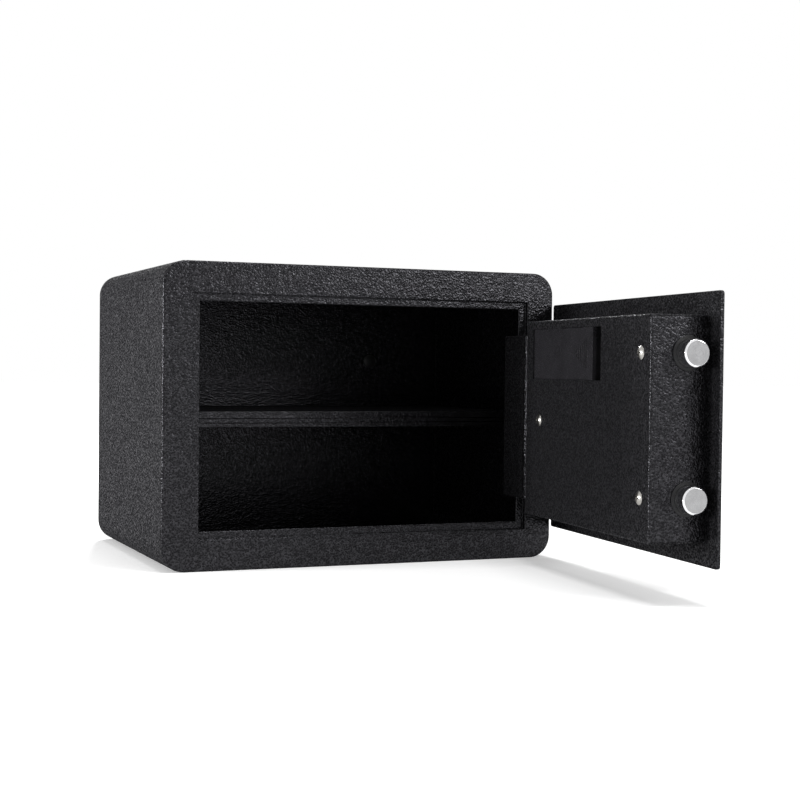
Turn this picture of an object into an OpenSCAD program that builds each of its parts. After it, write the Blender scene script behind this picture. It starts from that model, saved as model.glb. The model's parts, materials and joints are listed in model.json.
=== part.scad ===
// Electronic safe with a hinged door, two locking bolts, a turning ring
// around a round keypad, an emergency key lock and a lift-out shelf.
// Origin: centre of the underside. +X to the right seen from the front,
// the front faces -Y, +Z up. Everything on the door is drawn with the door
// closed and then swung open about the hinge pin.

/* [Cabinet] */
// Width of the doorway at the front face
mouth_w = 300; // [285:1:340]
// Width of the front frame at each side of the doorway
frame_side = 25; // [23:0.5:40]
// Height of the cabinet
cab_h = 250; // [236:1:320]
// Depth of the cabinet
cab_d = 250; // [200:1:400]
// Outer radius of the four long corners
cab_corner_r = 19; // [10:0.5:24]
// Thickness of the body, front and back sheets
cab_sheet = 2; // [1.5:0.1:3]
// Radius of the pressed edge round the front and the back
cab_edge_r = 1.6; // [0.5:0.1:2]
// Height of the doorway at the front face
mouth_h = 199; // [190:1:210]
// Depth of the step that the door closes into
ledge_deep = 4; // [3.5:0.1:6]
// Width of the ledge behind the door's edge
ledge_w = 6.5; // [4:0.5:9]
// Diameter of the fixing holes
fixing_d = 10; // [6:0.5:12]
// Distance between the two fixing holes in the floor and in the back
fixing_pitch = 200; // [120:1:220]
// Height of the fixing holes in the back above the underside
back_fixing_z = 172; // [140:1:200]

/* [Shelf] */
// Height of the shelf's top above the underside
shelf_z = 127; // [110:1:140]
// Distance of the shelf's front edge behind the front face
shelf_front = 68; // [56:1:120]
// Thickness of the shelf's sheet
shelf_sheet = 1.2; // [0.8:0.1:2]
// Height of the folded front edge
shelf_fold = 13.5; // [8:0.5:20]
// Width of the angles that carry the shelf
support_w = 16; // [10:1:24]

/* [Door] */
// Angle that the door stands open
door_open = 84.5; // [0:0.5:95]
// Thickness of the door plate
door_t = 3; // [2:0.1:3.4]
// Gap between the door plate and the doorway at each side
door_gap = 3.2; // [3:0.1:4]
// Gap between the door plate and the doorway at the top and the foot
door_gap_z = 2; // [1.5:0.1:4]
// Depth of the inner cover
cover_h = 44; // [42:0.5:50]
// Thickness of the inner cover's sheet
cover_sheet = 1.5; // [1:0.1:2]
// Margin between the door plate's edge and the cover at the bolt side
cover_free_margin = 18.5; // [17:0.5:20]
// Margin between the door plate's edge and the cover at the hinge side
cover_hinge_margin = 47; // [44:0.5:52]
// Margin between the door plate's edge and the cover at the top and the foot
cover_end_margin = 16.5; // [12:0.5:18]

/* [Hinge] */
// Distance of the hinge pin from the cabinet's outside
pivot_side = 11.5; // [9:0.5:11.5]
// Distance of the hinge pin behind the front face
pivot_deep = 16; // [15:0.5:17]
// Diameter of the hinge pin
pin_d = 6; // [4:0.5:7]
// Outer diameter of the rolled knuckle
knuckle_d = 11; // [9.5:0.5:12]
// Height of the hinge arm
arm_h = 139; // [100:1:150]
// Thickness of the hinge arm
arm_t = 3; // [2:0.5:3.5]

/* [Locking bolts] */
// Diameter of the locking bolts
bolt_d = 20; // [16:0.5:21]
// Distance between the two bolts
bolt_pitch = 103; // [98:1:110]
// Length that a bolt stands out of the cover when it is drawn back
bolt_out = 13.5; // [7:0.5:14]
// Travel of the bolts
bolt_throw = 12; // [9:0.5:13]
// Length of a bolt
bolt_len = 45; // [42:0.5:50]
// Distance of the bolts' axis from the door plate
bolt_deep = 14.5; // [13.8:0.1:16]
// Thickness of the carrier plate
carrier_t = 2; // [1.5:0.1:2.5]

/* [Knob and keypad] */
// Distance of the knob's axis from the middle of the door, to the bolt side
knob_dx = 26; // [20:1:32]
// Height of the knob's axis over the middle of the door
knob_dz = 10; // [8:0.5:11]
// Outer diameter of the turning ring
ring_d = 99; // [96:0.5:110]
// Diameter of the fixed keypad inside the ring
keypad_d = 86; // [84:0.5:90]
// Height of the keypad's face over the door
keypad_h = 24; // [20:0.5:30]
// Angle that the ring turns through
knob_turn = 60; // [40:1:70]
// Width of a key
key_w = 12; // [9:0.1:13]
// Height of a key
key_h = 7.6; // [5:0.1:8.4]
// Distance between two columns of keys
key_pitch_x = 17; // [16:0.1:18]
// Distance between two rows of keys
key_pitch_z = 11.2; // [10.6:0.1:11.6]
// Travel of a key
key_travel = 0.8; // [0.4:0.05:1]
// Width of the display window
display_w = 51.5; // [40:0.5:54]
// Height of the display window
display_h = 14.6; // [10:0.1:15]

/* [Key lock] */
// Distance of the key lock from the door plate's edge at the hinge side
lock_dx = 74.8; // [73.8:0.1:76.8]
// Distance of the key lock under the middle of the door
lock_dz = 26; // [24:0.5:28]
// Diameter of the lock's barrel
lock_d = 19; // [16:0.5:20]
// Length of the oval cover over the key lock
oval_w = 60; // [52:1:66]
// Height of the oval cover over the key lock
oval_h = 30; // [27:0.5:34]

/* [Batteries] */
// Diameter of a battery cell
cell_d = 14.5; // [14:0.1:14.7]
// Length of a battery cell
cell_len = 50.5; // [49:0.1:51]
// Margin between the cover's top edge and the battery bay
bay_margin = 7; // [5:0.5:8]

/* [Hidden] */
$fn = 64;

// Clearances
fit = 0.06;       // radius, a shaft that turns or slides in its hole
loose = 0.3;      // pieces that pass or seat without a fit
slot_play = 0.25; // each side of the drive pin in its fork

// Colours
paint = [0.13, 0.13, 0.135];
zinc = [0.74, 0.74, 0.72];
chrome = [0.82, 0.83, 0.85];
black_plastic = [0.06, 0.06, 0.065];
brass = [0.8, 0.65, 0.35];

// Cabinet
cab_w = mouth_w + 2 * frame_side;
front_y = -cab_d / 2;
inner_w = cab_w - 2 * cab_sheet;
mid_z = cab_h / 2;
clear_w = mouth_w - 2 * ledge_w;
clear_h = mouth_h - 2 * ledge_w;
ledge_back = ledge_deep + cab_sheet;

// Door plate and inner cover, closed
plate_w = mouth_w - 2 * door_gap;
plate_h = mouth_h - 2 * door_gap_z;
cover_x0 = -plate_w / 2 + cover_free_margin;
cover_x1 = plate_w / 2 - cover_hinge_margin;
cover_z0 = mid_z - plate_h / 2 + cover_end_margin;
cover_z1 = mid_z + plate_h / 2 - cover_end_margin;
cover_face = door_t + cover_h;
cover_in = cover_face - cover_sheet;

// Hinge
pivot_x = cab_w / 2 - pivot_side;
pivot_y = front_y + pivot_deep;
arm_z0 = mid_z - arm_h / 2;
arm_gap = 5;                         // between the cover and the arm's front leg
arm_x0 = cover_x1 + arm_gap;         // outside of the leg next to the cover
arm_face = cover_face - 2;           // depth of the arm's long leg
arm_bend_r = 8;                      // outer radius of the arm's two bends
arm_foot = 22;                       // length of the foot welded to the plate
bracket_t = 3;                       // thickness of a hinge bracket
bracket_h = 16;                      // height of its welded flange

// Locking bolts and carrier
bolt_mid_z = mid_z + 2;
bolt_zs = [bolt_mid_z - bolt_pitch / 2, bolt_mid_z + bolt_pitch / 2];
bolt_y = door_t + bolt_deep;
bolt_tip_x = cover_x0 - bolt_out;
flange_x = bolt_tip_x + bolt_len;    // back ends of the bolts
bolt_tap = 14;                       // depth of the tapped hole in a bolt's end
bolt_chamfer = 1;
bolt_screw_d = 6;
bolt_screw_in = 12;                  // length of the screw in the bolt
bolt_screw_head_d = 10;
bolt_screw_head_h = 4;
bush_wall = 1.4;
bush_len = 9;
bush_lip = 1;                        // the bush's rim on the outside
knob_x = -knob_dx;
knob_z = mid_z + knob_dz;
lock_x = plate_w / 2 - lock_dx;
lock_z = mid_z - lock_dz;
bridge_deep = 19;                    // room under the bridge behind the knob
bridge_y0 = door_t + bridge_deep;
bridge_t = 2;
bridge_reach = 26;                   // its posts, each side of the knob's axis
bridge_w = 24;
bridge_end = 5;                      // from a post's axis to the bridge's end
bridge_post_d = 8;
carrier_y0 = door_t + 10;            // front of the carrier plate
carrier_y1 = carrier_y0 + carrier_t;
carrier_top = knob_z - 8;            // top of the carrier's long arm
carrier_low = lock_z - 15;           // its lower edge
carrier_room = 5.8;                  // between its upright part and the bridge's post
carrier_w = knob_x - bridge_reach - bridge_post_d / 2 - carrier_room - flange_x;
carrier_x1 = lock_x - lock_d / 2 - 4.5;
post_d = 8;                          // guide posts
post_wall = 2;                       // shoulder under the carrier
post_screw_d = 3;
post_head_h = 2;
post_x = flange_x + 13;
post_rise = 15;                      // upper post over the knob's axis
post_drop = 1;                       // lower posts under the key lock's axis
post_side = 34;                      // third post beside the knob's axis
posts = [[post_x, knob_z + post_rise], [post_x, lock_z - post_drop], [knob_x + post_side, lock_z - post_drop]];

// Drive: a pin on the cam works in a fork in the carrier, as a Scotch yoke
crank_r = bolt_throw / 2 / sin(knob_turn / 2);
drive_pin_d = 5;
drive_angle = knob_turn / 2;         // from straight down, at rest
cam_y0 = carrier_y0 - 4;
cam_y1 = carrier_y0 - 1;
hub_r = 10;
stem_r = 7;
nut_t = 4;
stem_end = bridge_y0 + bridge_t + nut_t + 1.5;

// Turning ring and keypad; depths in front of the door are negative
face_t = 1.5;
ring_round = 2.2;                    // radius of the ring's two front edges
drum_gap = loose;
drum_back_t = 2.7;
drum_h = keypad_h - 10;              // the ring's back edge
ring_h = keypad_h + 1;
keypad_r = keypad_d / 2;
ring_in_r = keypad_r + 0.4;
drum_r = ring_d / 2 - 2;
base_back = 4;                       // keypad base stands this far off the door
base_t = 2;
base_wall = 1.8;
board_t = 1.6;
chip_w = 12;                         // processor on the board's back
chip_t = 1.5;
chip_dx = 16;
chip_dz = 10;
sounder_d = 12;
sounder_h = 5;
sounder_dx = 18;
sounder_dz = 12;
board_y = -(keypad_h - face_t - 1.7 - key_travel); // front of the circuit board
key_proud = 1;
key_rim = 0.9;                       // flange behind the face, each side
key_names = ["1", "2", "3", "4", "5", "6", "7", "8", "9", "star", "0", "hash"];
key_top_z = 5.7;                     // first row over the knob's axis
display_z = 22.8;                    // display over the knob's axis
light_x = -37.4;
light_z = 1;
light_pitch = 3.4;
light_d = 2;

// Key lock
plug_d = 12;
keyway_len = 18;
keyway_h = 8;
lock_face_t = 1.5;
lock_len = 20;                       // barrel behind the door's face
oval_depth = 4.5;
oval_wall = 1.4;
peg_d = 3.6;
peg_dx = oval_w / 2 - 7;
cam_arm_y = lock_len + 1;            // front of the lock's cam
cam_arm_t = 2;
cam_arm_len = 28;
cam_arm_w = 9;
cam_arm_rest = 50;                   // angle over the horizontal, at rest

// Solenoid that holds the carrier
sol_side = 34;                       // beside the key lock's axis
sol_x = lock_x - sol_side;
sol_y = (carrier_y0 + carrier_y1) / 2;
plunger_d = 7;
plunger_travel = 6;
plunger_top = carrier_low - loose;
sol_w = 26;
sol_top = carrier_low - 8;
sol_low = cover_z0 + cover_sheet + 1;
sol_t = 1.6;
coil_d = 18;
notch_w = plunger_d + 1;
notch_h = plunger_travel + 1;
tab_t = 4;
tab_w = 6;

// Wires
wire_d = 2.6;
wire_r = 4;                          // radius of their bends
wire_z = sol_low + 12;               // height where the coil's leads cross

// Battery bay
bay_z1 = cover_z1 - bay_margin;
cell_gap = 1.1;
bay_h = 2 * cell_d + 12;
bay_z0 = bay_z1 - bay_h;
bay_mid_z = (bay_z0 + bay_z1) / 2;
bay_x1 = cover_x1 - 14;
contact_room = 3.5;
cells_x1 = bay_x1 - contact_room;
cells_x0 = cells_x1 - 2 * cell_len;
lid_end_x = bay_x1 - 2 * cell_len - 2 * contact_room - 12;
bay_x0 = lid_end_x - 12;
tray_wall = 2;
tray_back = cover_in - cell_d - 3.5;
lid_y1 = cover_face - 0.6;
lid_t = 1.6;
lid_barrel_r = 1.6;
lid_pin_r = 0.6;
lid_pivot_x = bay_x1 - lid_barrel_r - 0.1;
lid_pivot_y = lid_y1 - lid_barrel_r;

// Cover fixing
screw_d = 4;
screw_head_d = 10;
screw_head_h = 2.4;
fix_free = [cover_x0 + 15, [bolt_zs[0], bolt_zs[1]]];
fix_hinge = [lock_x - 1, mid_z - 1];
fix_leg_gap = 2.5;                   // between a bolt and its bracket's leg
fix_t = 2;
fix_w = 16;

// Shapes drawn in the plane of the front and pushed to a depth behind it
module between(y0, y1) {
    translate([0, front_y + y1, 0])
        rotate([90, 0, 0])
            linear_extrude(y1 - y0)
                children();
}

module rect(x0, z0, x1, z1) {
    translate([x0, z0])
        square([x1 - x0, z1 - z0]);
}

module round_rect(w, h, r) {
    square([w - 2 * r, h], center = true);
    square([w, h - 2 * r], center = true);
    for (sx = [-1, 1], sz = [-1, 1])
        translate([sx * (w / 2 - r), sz * (h / 2 - r)])
            circle(r);
}

module slot(length, width) {
    square([length - width, width], center = true);
    for (s = [-1, 1])
        translate([s * (length - width) / 2, 0])
            circle(d = width);
}

// A plate with its outer edge rounded on the side at height t
module edged_plate(w, h, r, t, e) {
    linear_extrude(t)
        round_rect(w - 2 * e, h - 2 * e, r - e);
    linear_extrude(t - e)
        round_rect(w, h, r);
    for (s = [-1, 1]) {
        translate([-(w / 2 - r), s * (h / 2 - e), t - e])
            rotate([90, 0, 90])
                linear_extrude(w - 2 * r)
                    edge_half(e);
        translate([s * (w / 2 - e), h / 2 - r, t - e])
            rotate([90, 0, 0])
                linear_extrude(h - 2 * r)
                    edge_half(e);
    }
    for (q = [0:3])
        translate([(q == 0 || q == 3 ? 1 : -1) * (w / 2 - r), (q < 2 ? 1 : -1) * (h / 2 - r), t - e])
            rotate([0, 0, 90 * q])
                rotate_extrude(angle = 90)
                    translate([r - e, 0])
                        edge_half(e);
}

module edge_half(e) {
    intersection() {
        circle(e);
        translate([-e, 0])
            square([2 * e, e]);
    }
}

// Faces an edged plate forwards, with its rounded side at depth y
module facing_front(y, x, z) {
    translate([x, front_y + y, z])
        rotate([90, 0, 0])
            children();
}

module facing_back(y, x, z) {
    translate([x, front_y + y, z])
        rotate([-90, 0, 0])
            children();
}

// A cylinder along Y between two depths
module rod(x, z, y0, y1, d) {
    translate([x, front_y + y0, z])
        rotate([-90, 0, 0])
            cylinder(d = d, h = y1 - y0);
}

module on_door() {
    translate([pivot_x, pivot_y, 0])
        rotate([0, 0, door_open])
            translate([-pivot_x, -pivot_y, 0])
                children();
}

// Cabinet
module body_wrap() {
    color(paint)
        difference() {
            translate([0, 0, mid_z])
                between(cab_sheet, cab_d - cab_sheet)
                    difference() {
                        round_rect(cab_w, cab_h, cab_corner_r);
                        round_rect(inner_w, cab_h - 2 * cab_sheet, cab_corner_r - cab_sheet);
                    }
            for (s = [-1, 1])
                translate([s * fixing_pitch / 2, 0, -1])
                    cylinder(d = fixing_d, h = cab_sheet + 2);
        }
}

module ledge_nose() {
    r = cab_sheet / 2;
    y = front_y + ledge_deep + r;
    for (s = [-1, 1]) {
        translate([s * (clear_w / 2 + r), y, mid_z - clear_h / 2 - r])
            cylinder(r = r, h = clear_h + 2 * r);
        translate([-clear_w / 2 - r, y, mid_z + s * (clear_h / 2 + r)])
            rotate([0, 90, 0])
                cylinder(r = r, h = clear_w + 2 * r);
        for (t = [-1, 1])
            translate([s * (clear_w / 2 + r), y, mid_z + t * (clear_h / 2 + r)])
                sphere(r = r);
    }
}

module front_frame() {
    color(paint)
        difference() {
            union() {
                facing_front(cab_sheet, 0, mid_z)
                    edged_plate(cab_w, cab_h, cab_corner_r, cab_sheet, cab_edge_r);
                translate([0, 0, mid_z])
                    between(cab_sheet, ledge_back)
                        square([mouth_w + 2 * cab_sheet, mouth_h + 2 * cab_sheet], center = true);
            }
            translate([0, 0, mid_z]) {
                between(-1, ledge_deep)
                    square([mouth_w, mouth_h], center = true);
                between(ledge_deep - 1, ledge_back + 1)
                    square([clear_w + cab_sheet, clear_h + cab_sheet], center = true);
            }
        }
    color(paint)
        ledge_nose();
}

module back_panel() {
    color(paint)
        difference() {
            facing_back(cab_d - cab_sheet, 0, mid_z)
                edged_plate(cab_w, cab_h, cab_corner_r, cab_sheet, cab_edge_r);
            for (s = [-1, 1])
                rod(s * fixing_pitch / 2, back_fixing_z, cab_d - cab_sheet - 1, cab_d + 1, fixing_d);
        }
}

module shelf_supports() {
    t = cab_sheet;
    top = shelf_z - shelf_sheet;
    color(paint)
        for (s = [-1, 1])
            scale([s, 1, 1]) {
                translate([inner_w / 2 - t, front_y + shelf_front + 6, top - support_w])
                    cube([t, cab_d - cab_sheet - shelf_front - 6, support_w]);
                translate([inner_w / 2 - support_w, front_y + shelf_front + 6, top - t])
                    cube([support_w, cab_d - cab_sheet - shelf_front - 6, t]);
            }
}

module shelf() {
    w = inner_w - 2;
    back = cab_d - cab_sheet - 1;
    color(paint)
        difference() {
            union() {
                translate([-w / 2, front_y + shelf_front, shelf_z - shelf_sheet])
                    cube([w, back - shelf_front, shelf_sheet]);
                translate([-w / 2, front_y + shelf_front, shelf_z - shelf_fold])
                    cube([w, shelf_sheet, shelf_fold]);
                translate([-w / 2 + support_w + 4, front_y + back - shelf_sheet, shelf_z - shelf_fold])
                    cube([w - 2 * support_w - 8, shelf_sheet, shelf_fold]);
            }
            for (s = [-1, 1])
                rod(s * (w / 2 - 8), shelf_z - shelf_fold / 2 - 1, shelf_front - 1, shelf_front + 4, 4);
        }
}

module hinge_brackets() {
    wall_x = mouth_w / 2 + cab_sheet;
    reach = pivot_x + knuckle_d / 2;
    color(paint)
        for (s = [-1, 1])
            translate([0, 0, mid_z])
                scale([1, 1, s])
                    difference() {
                        union() {
                            translate([wall_x, front_y + cab_sheet, arm_h / 2 + loose])
                                cube([reach - wall_x, pivot_deep + 7 - cab_sheet, bracket_t]);
                            translate([wall_x, front_y + cab_sheet, arm_h / 2 + loose])
                                cube([reach - wall_x, bracket_t, bracket_h]);
                        }
                        translate([pivot_x, pivot_y, arm_h / 2 - 1])
                            cylinder(d = pin_d + 2 * fit, h = bracket_h + 2);
                    }
}

module hinge_pin() {
    end = arm_h / 2 + loose + bracket_t + 3;
    color(zinc) {
        translate([pivot_x, pivot_y, mid_z - end])
            cylinder(d = pin_d, h = 2 * end);
        translate([pivot_x, pivot_y, mid_z + end])
            cylinder(d = pin_d + 3, h = 2);
        translate([pivot_x, pivot_y, mid_z - end - 1.2])
            cylinder(d = pin_d + 3, h = 1.2);
    }
}

// Door
module door_plate() {
    color(paint)
        on_door()
            difference() {
                facing_front(door_t, 0, mid_z)
                    edged_plate(plate_w, plate_h, 2.5, door_t, 1);
                rod(knob_x, knob_z, -1, door_t + 1, 2 * (hub_r + fit));
                rod(lock_x, lock_z, -1, door_t + 1, lock_d + 2 * fit);
                for (s = [-1, 1])
                    rod(lock_x + s * peg_dx, lock_z, -1, door_t + 1, peg_d + loose);
            }
}

module door_cover() {
    w = cover_x1 - cover_x0;
    h = cover_z1 - cover_z0;
    cx = (cover_x0 + cover_x1) / 2;
    cz = (cover_z0 + cover_z1) / 2;
    color(paint)
        on_door()
            difference() {
                facing_back(door_t, cx, cz)
                    edged_plate(w, h, 3, cover_h, 1.4);
                translate([cx, 0, cz])
                    between(door_t - 1, cover_in)
                        round_rect(w - 2 * cover_sheet, h - 2 * cover_sheet, 1.5);
                between(cover_in - 1, cover_face + 1)
                    rect(bay_x0, bay_z0, bay_x1 + 0.2, bay_z1);
                for (z = fix_free[1])
                    rod(fix_free[0], z, cover_in - 1, cover_face + 1, screw_d + 0.6);
                rod(fix_hinge[0], fix_hinge[1], cover_in - 1, cover_face + 1, screw_d + 0.6);
                for (z = bolt_zs)
                    translate([cover_x0 - 1, front_y + bolt_y, z])
                        rotate([0, 90, 0])
                            cylinder(d = bolt_d + 2 * bush_wall + 2 * fit, h = cover_sheet + 2);
            }
}

// The arm's section: a foot on the plate, a leg beside the cover, a long leg
// across the doorway's edge and a leg back to the knuckle
module arm_section() {
    r = arm_bend_r;
    x2 = pivot_x - knuckle_d / 2;
    in = r - arm_t;
    // foot
    rect(arm_x0, door_t, arm_x0 + arm_foot, door_t + arm_t);
    // leg beside the cover
    rect(arm_x0, door_t, arm_x0 + arm_t, arm_face - r);
    // first bend
    intersection() {
        translate([arm_x0 + r, arm_face - r])
            difference() {
                circle(r);
                circle(in);
            }
        rect(arm_x0, arm_face - r, arm_x0 + r, arm_face);
    }
    // long leg
    rect(arm_x0 + r, arm_face - arm_t, x2 + arm_t - r, arm_face);
    // second bend
    intersection() {
        translate([x2 + arm_t - r, arm_face - r])
            difference() {
                circle(r);
                circle(in);
            }
        rect(x2 + arm_t - r, arm_face - r, x2 + arm_t, arm_face);
    }
    // leg to the knuckle
    rect(x2, pivot_deep, x2 + arm_t, arm_face - r);
    translate([pivot_x, pivot_deep])
        circle(d = knuckle_d);
}

module hinge_arm() {
    color(paint)
        on_door()
            difference() {
                translate([0, front_y, arm_z0])
                    linear_extrude(arm_h)
                        arm_section();
                translate([pivot_x, pivot_y, arm_z0 - 1])
                    cylinder(d = pin_d + 2 * fit, h = arm_h + 2);
            }
}

module cover_brackets() {
    color(zinc)
        on_door() {
            for (s = [-1, 1]) {
                z = s < 0 ? fix_free[1][0] : fix_free[1][1];
                leg = bolt_d / 2 + fix_leg_gap;
                translate([fix_free[0] - fix_w / 2, front_y, z])
                    scale([1, 1, s])
                        difference() {
                            union() {
                                translate([0, door_t, leg])
                                    cube([fix_w, cover_in - door_t, fix_t]);
                                translate([0, door_t, leg])
                                    cube([fix_w, fix_t, 12]);
                                translate([0, cover_in - fix_t, -6])
                                    cube([fix_w, fix_t, leg + 6 + fix_t]);
                            }
                            translate([fix_w / 2, cover_in - fix_t - 1, 0])
                                rotate([-90, 0, 0])
                                    cylinder(d = screw_d + 0.1, h = fix_t + 2);
                        }
            }
            difference() {
                rod(fix_hinge[0], fix_hinge[1], door_t, cover_in, 9);
                rod(fix_hinge[0], fix_hinge[1], cover_in - 12, cover_in + 1, screw_d + 0.1);
            }
        }
}

module cover_screw(x, z, length) {
    difference() {
        union() {
            rod(x, z, cover_face - length, cover_face + 0.2, screw_d);
            intersection() {
                rod(x, z, cover_face, cover_face + screw_head_h, screw_head_d);
                translate([x, front_y + cover_face - 4.6, z])
                    sphere(d = 14, $fn = 48);
            }
        }
        translate([x - 0.5, front_y + cover_face + screw_head_h - 1.1, z - 3])
            cube([1, 2, 6]);
        translate([x - 3, front_y + cover_face + screw_head_h - 1.1, z - 0.5])
            cube([6, 2, 1]);
    }
}

module cover_screws() {
    color(chrome)
        on_door() {
            for (z = fix_free[1])
                cover_screw(fix_free[0], z, cover_sheet + fix_t + 1.5);
            cover_screw(fix_hinge[0], fix_hinge[1], cover_sheet + 10);
        }
}

module bolt_bushes() {
    color(black_plastic)
        on_door()
            for (z = bolt_zs)
                translate([cover_x0 - bush_lip, front_y + bolt_y, z])
                    rotate([0, 90, 0])
                        difference() {
                            union() {
                                cylinder(d = bolt_d + 2 * bush_wall, h = bush_len);
                                cylinder(d = bolt_d + 2 * bush_wall + 2.4, h = bush_lip);
                            }
                            translate([0, 0, -1])
                                cylinder(d = bolt_d + 2 * fit, h = bush_len + 2);
                        }
}

// Lock works on the door's inside
module guide_posts() {
    color(zinc)
        on_door()
            for (p = posts)
                difference() {
                    rod(p[0], p[1], door_t, carrier_y0 - loose, post_d + 2 * post_wall);
                    rod(p[0], p[1], door_t + post_wall, carrier_y0, post_screw_d + 0.2);
                }
}

module guide_screws() {
    color(chrome)
        on_door()
            for (p = posts) {
                rod(p[0], p[1], carrier_y0 - loose, carrier_y1 + loose, post_d - 2 * fit);
                rod(p[0], p[1], carrier_y1 + loose, carrier_y1 + loose + post_head_h, post_d + 2 * post_wall + 1);
                rod(p[0], p[1], door_t + post_wall + 1, carrier_y0, post_screw_d);
            }
}

module bolt_carrier() {
    color(zinc)
        on_door() {
            difference() {
                between(carrier_y0, carrier_y1)
                    difference() {
                        union() {
                            rect(flange_x, bolt_zs[0] + 12, flange_x + carrier_w, bolt_zs[1] - 12);
                            rect(flange_x, carrier_low, carrier_x1, carrier_top);
                        }
                        for (p = posts)
                            translate([p[0] + bolt_throw / 2, p[1]])
                                slot(bolt_throw + post_d + 0.4, post_d);
                        // fork for the drive pin
                        rect(knob_x + bolt_throw / 2 - drive_pin_d / 2 - slot_play,
                             knob_z - crank_r - drive_pin_d / 2 - loose,
                             knob_x + bolt_throw / 2 + drive_pin_d / 2 + slot_play,
                             carrier_top + 1);
                        // notches that the solenoid's plunger drops into
                        for (x = [sol_x, sol_x + bolt_throw])
                            rect(x - notch_w / 2, carrier_low - 1, x + notch_w / 2, carrier_low + notch_h);
                    }
            }
            // flange that the bolts are screwed to
            difference() {
                translate([flange_x, front_y + bolt_y - bolt_d / 2 + 0.5, bolt_zs[0] - bolt_d / 2])
                    cube([carrier_t, bolt_d - 1, bolt_pitch + bolt_d]);
                for (z = bolt_zs)
                    translate([flange_x - 1, front_y + bolt_y, z])
                        rotate([0, 90, 0])
                            cylinder(d = bolt_screw_d + 0.4, h = carrier_t + 2);
            }
        }
}

module locking_bolts() {
    color(chrome)
        on_door()
            for (z = bolt_zs)
                translate([bolt_tip_x, front_y + bolt_y, z])
                    rotate([0, 90, 0])
                        difference() {
                            union() {
                                cylinder(d1 = bolt_d - 2 * bolt_chamfer, d2 = bolt_d, h = bolt_chamfer);
                                translate([0, 0, bolt_chamfer])
                                    cylinder(d = bolt_d, h = bolt_len - bolt_chamfer);
                            }
                            translate([0, 0, bolt_len - bolt_tap])
                                cylinder(d = bolt_screw_d + 0.2, h = bolt_tap + 1);
                        }
}

module bolt_screws() {
    color(zinc)
        on_door()
            for (z = bolt_zs)
                translate([flange_x, front_y + bolt_y, z])
                    rotate([0, 90, 0])
                        difference() {
                            union() {
                                translate([0, 0, -bolt_screw_in])
                                    cylinder(d = bolt_screw_d, h = bolt_screw_in + carrier_t + 0.1);
                                translate([0, 0, carrier_t])
                                    cylinder(d = bolt_screw_head_d, h = bolt_screw_head_h);
                            }
                            translate([0, 0, carrier_t + bolt_screw_head_h / 2])
                                cylinder(d = bolt_screw_head_d / 2, h = bolt_screw_head_h, $fn = 6);
                        }
}

module drive_cam() {
    px = knob_x + crank_r * sin(drive_angle);
    pz = knob_z - crank_r * cos(drive_angle);
    color(zinc)
        on_door() {
            difference() {
                between(cam_y0, cam_y1)
                    translate([knob_x, knob_z])
                        circle(d = 2 * crank_r + drive_pin_d + 4);
                rod(knob_x, knob_z, cam_y0 - 1, cam_y1 + 1, 2 * (stem_r + fit));
            }
            rod(px, pz, cam_y1, carrier_y1 + 1.5, drive_pin_d);
        }
}

module knob_drum() {
    color(black_plastic)
        on_door()
            difference() {
                union() {
                    rod(knob_x, knob_z, -drum_h, -drum_gap, 2 * drum_r);
                    rod(knob_x, knob_z, -drum_gap - 1, cam_y0, 2 * hub_r);
                }
                rod(knob_x, knob_z, -drum_h - 1, -drum_gap - drum_back_t, 2 * ring_in_r);
                rod(knob_x, knob_z, -drum_h - 1, cam_y0 + 1, 2 * (stem_r + fit));
            }
}

module knob_ring() {
    w = ring_d / 2 - ring_in_r;
    color(chrome)
        on_door()
            translate([knob_x, front_y, knob_z])
                rotate([90, 0, 0])
                    rotate_extrude($fn = 128)
                        translate([ring_in_r, 0]) {
                            translate([0, drum_h])
                                square([w, ring_h - drum_h - ring_round]);
                            translate([ring_round, drum_h])
                                square([w - 2 * ring_round, ring_h - drum_h]);
                            for (x = [ring_round, w - ring_round])
                                translate([x, ring_h - ring_round])
                                    circle(ring_round);
                        }
}

module keypad_base() {
    post_r = keypad_r - base_wall - 4;
    color(black_plastic)
        on_door()
            difference() {
                union() {
                    difference() {
                        rod(knob_x, knob_z, -keypad_h + face_t, -base_back, keypad_d);
                        rod(knob_x, knob_z, -keypad_h, -base_back - base_t, keypad_d - 2 * base_wall);
                    }
                    for (a = [45:90:315])
                        rod(knob_x + post_r * cos(a), knob_z + post_r * sin(a),
                            board_y + board_t, -base_back - base_t / 2, 5);
                    rod(knob_x, knob_z, -base_back - base_t, stem_end, 2 * stem_r);
                }
                rod(knob_x, knob_z, -base_back - base_t - 1, stem_end + 1, stem_r + 2);
            }
}

function key_x(i) = knob_x + (i % 3 - 1) * key_pitch_x;
function key_z(i) = knob_z + key_top_z - floor(i / 3) * key_pitch_z;

module keypad_face() {
    color([0.03, 0.03, 0.035])
        on_door()
            between(-keypad_h, -keypad_h + face_t)
                difference() {
                    translate([knob_x, knob_z])
                        circle(keypad_r, $fn = 128);
                    for (i = [0:11])
                        translate([key_x(i), key_z(i)])
                            slot(key_w + 0.4, key_h + 0.4);
                    translate([knob_x, knob_z + display_z])
                        round_rect(display_w, display_h, 1);
                    for (s = [-1, 1])
                        translate([knob_x + light_x, knob_z + light_z + s * light_pitch / 2])
                            circle(d = light_d + 0.1, $fn = 32);
                }
}

module display_window() {
    color([0.8, 0.9, 0.95, 0.4])
        on_door()
            translate([knob_x, 0, knob_z + display_z])
                between(-keypad_h, -keypad_h + 1)
                    round_rect(display_w - 0.1, display_h - 0.1, 0.95);
}

module display_panel() {
    color([0.86, 0.92, 0.95])
        on_door()
            translate([knob_x, 0, knob_z + display_z]) {
                between(-keypad_h + face_t + 0.1, board_y)
                    square([display_w + 1.6, display_h + 2], center = true);
            }
}

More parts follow.
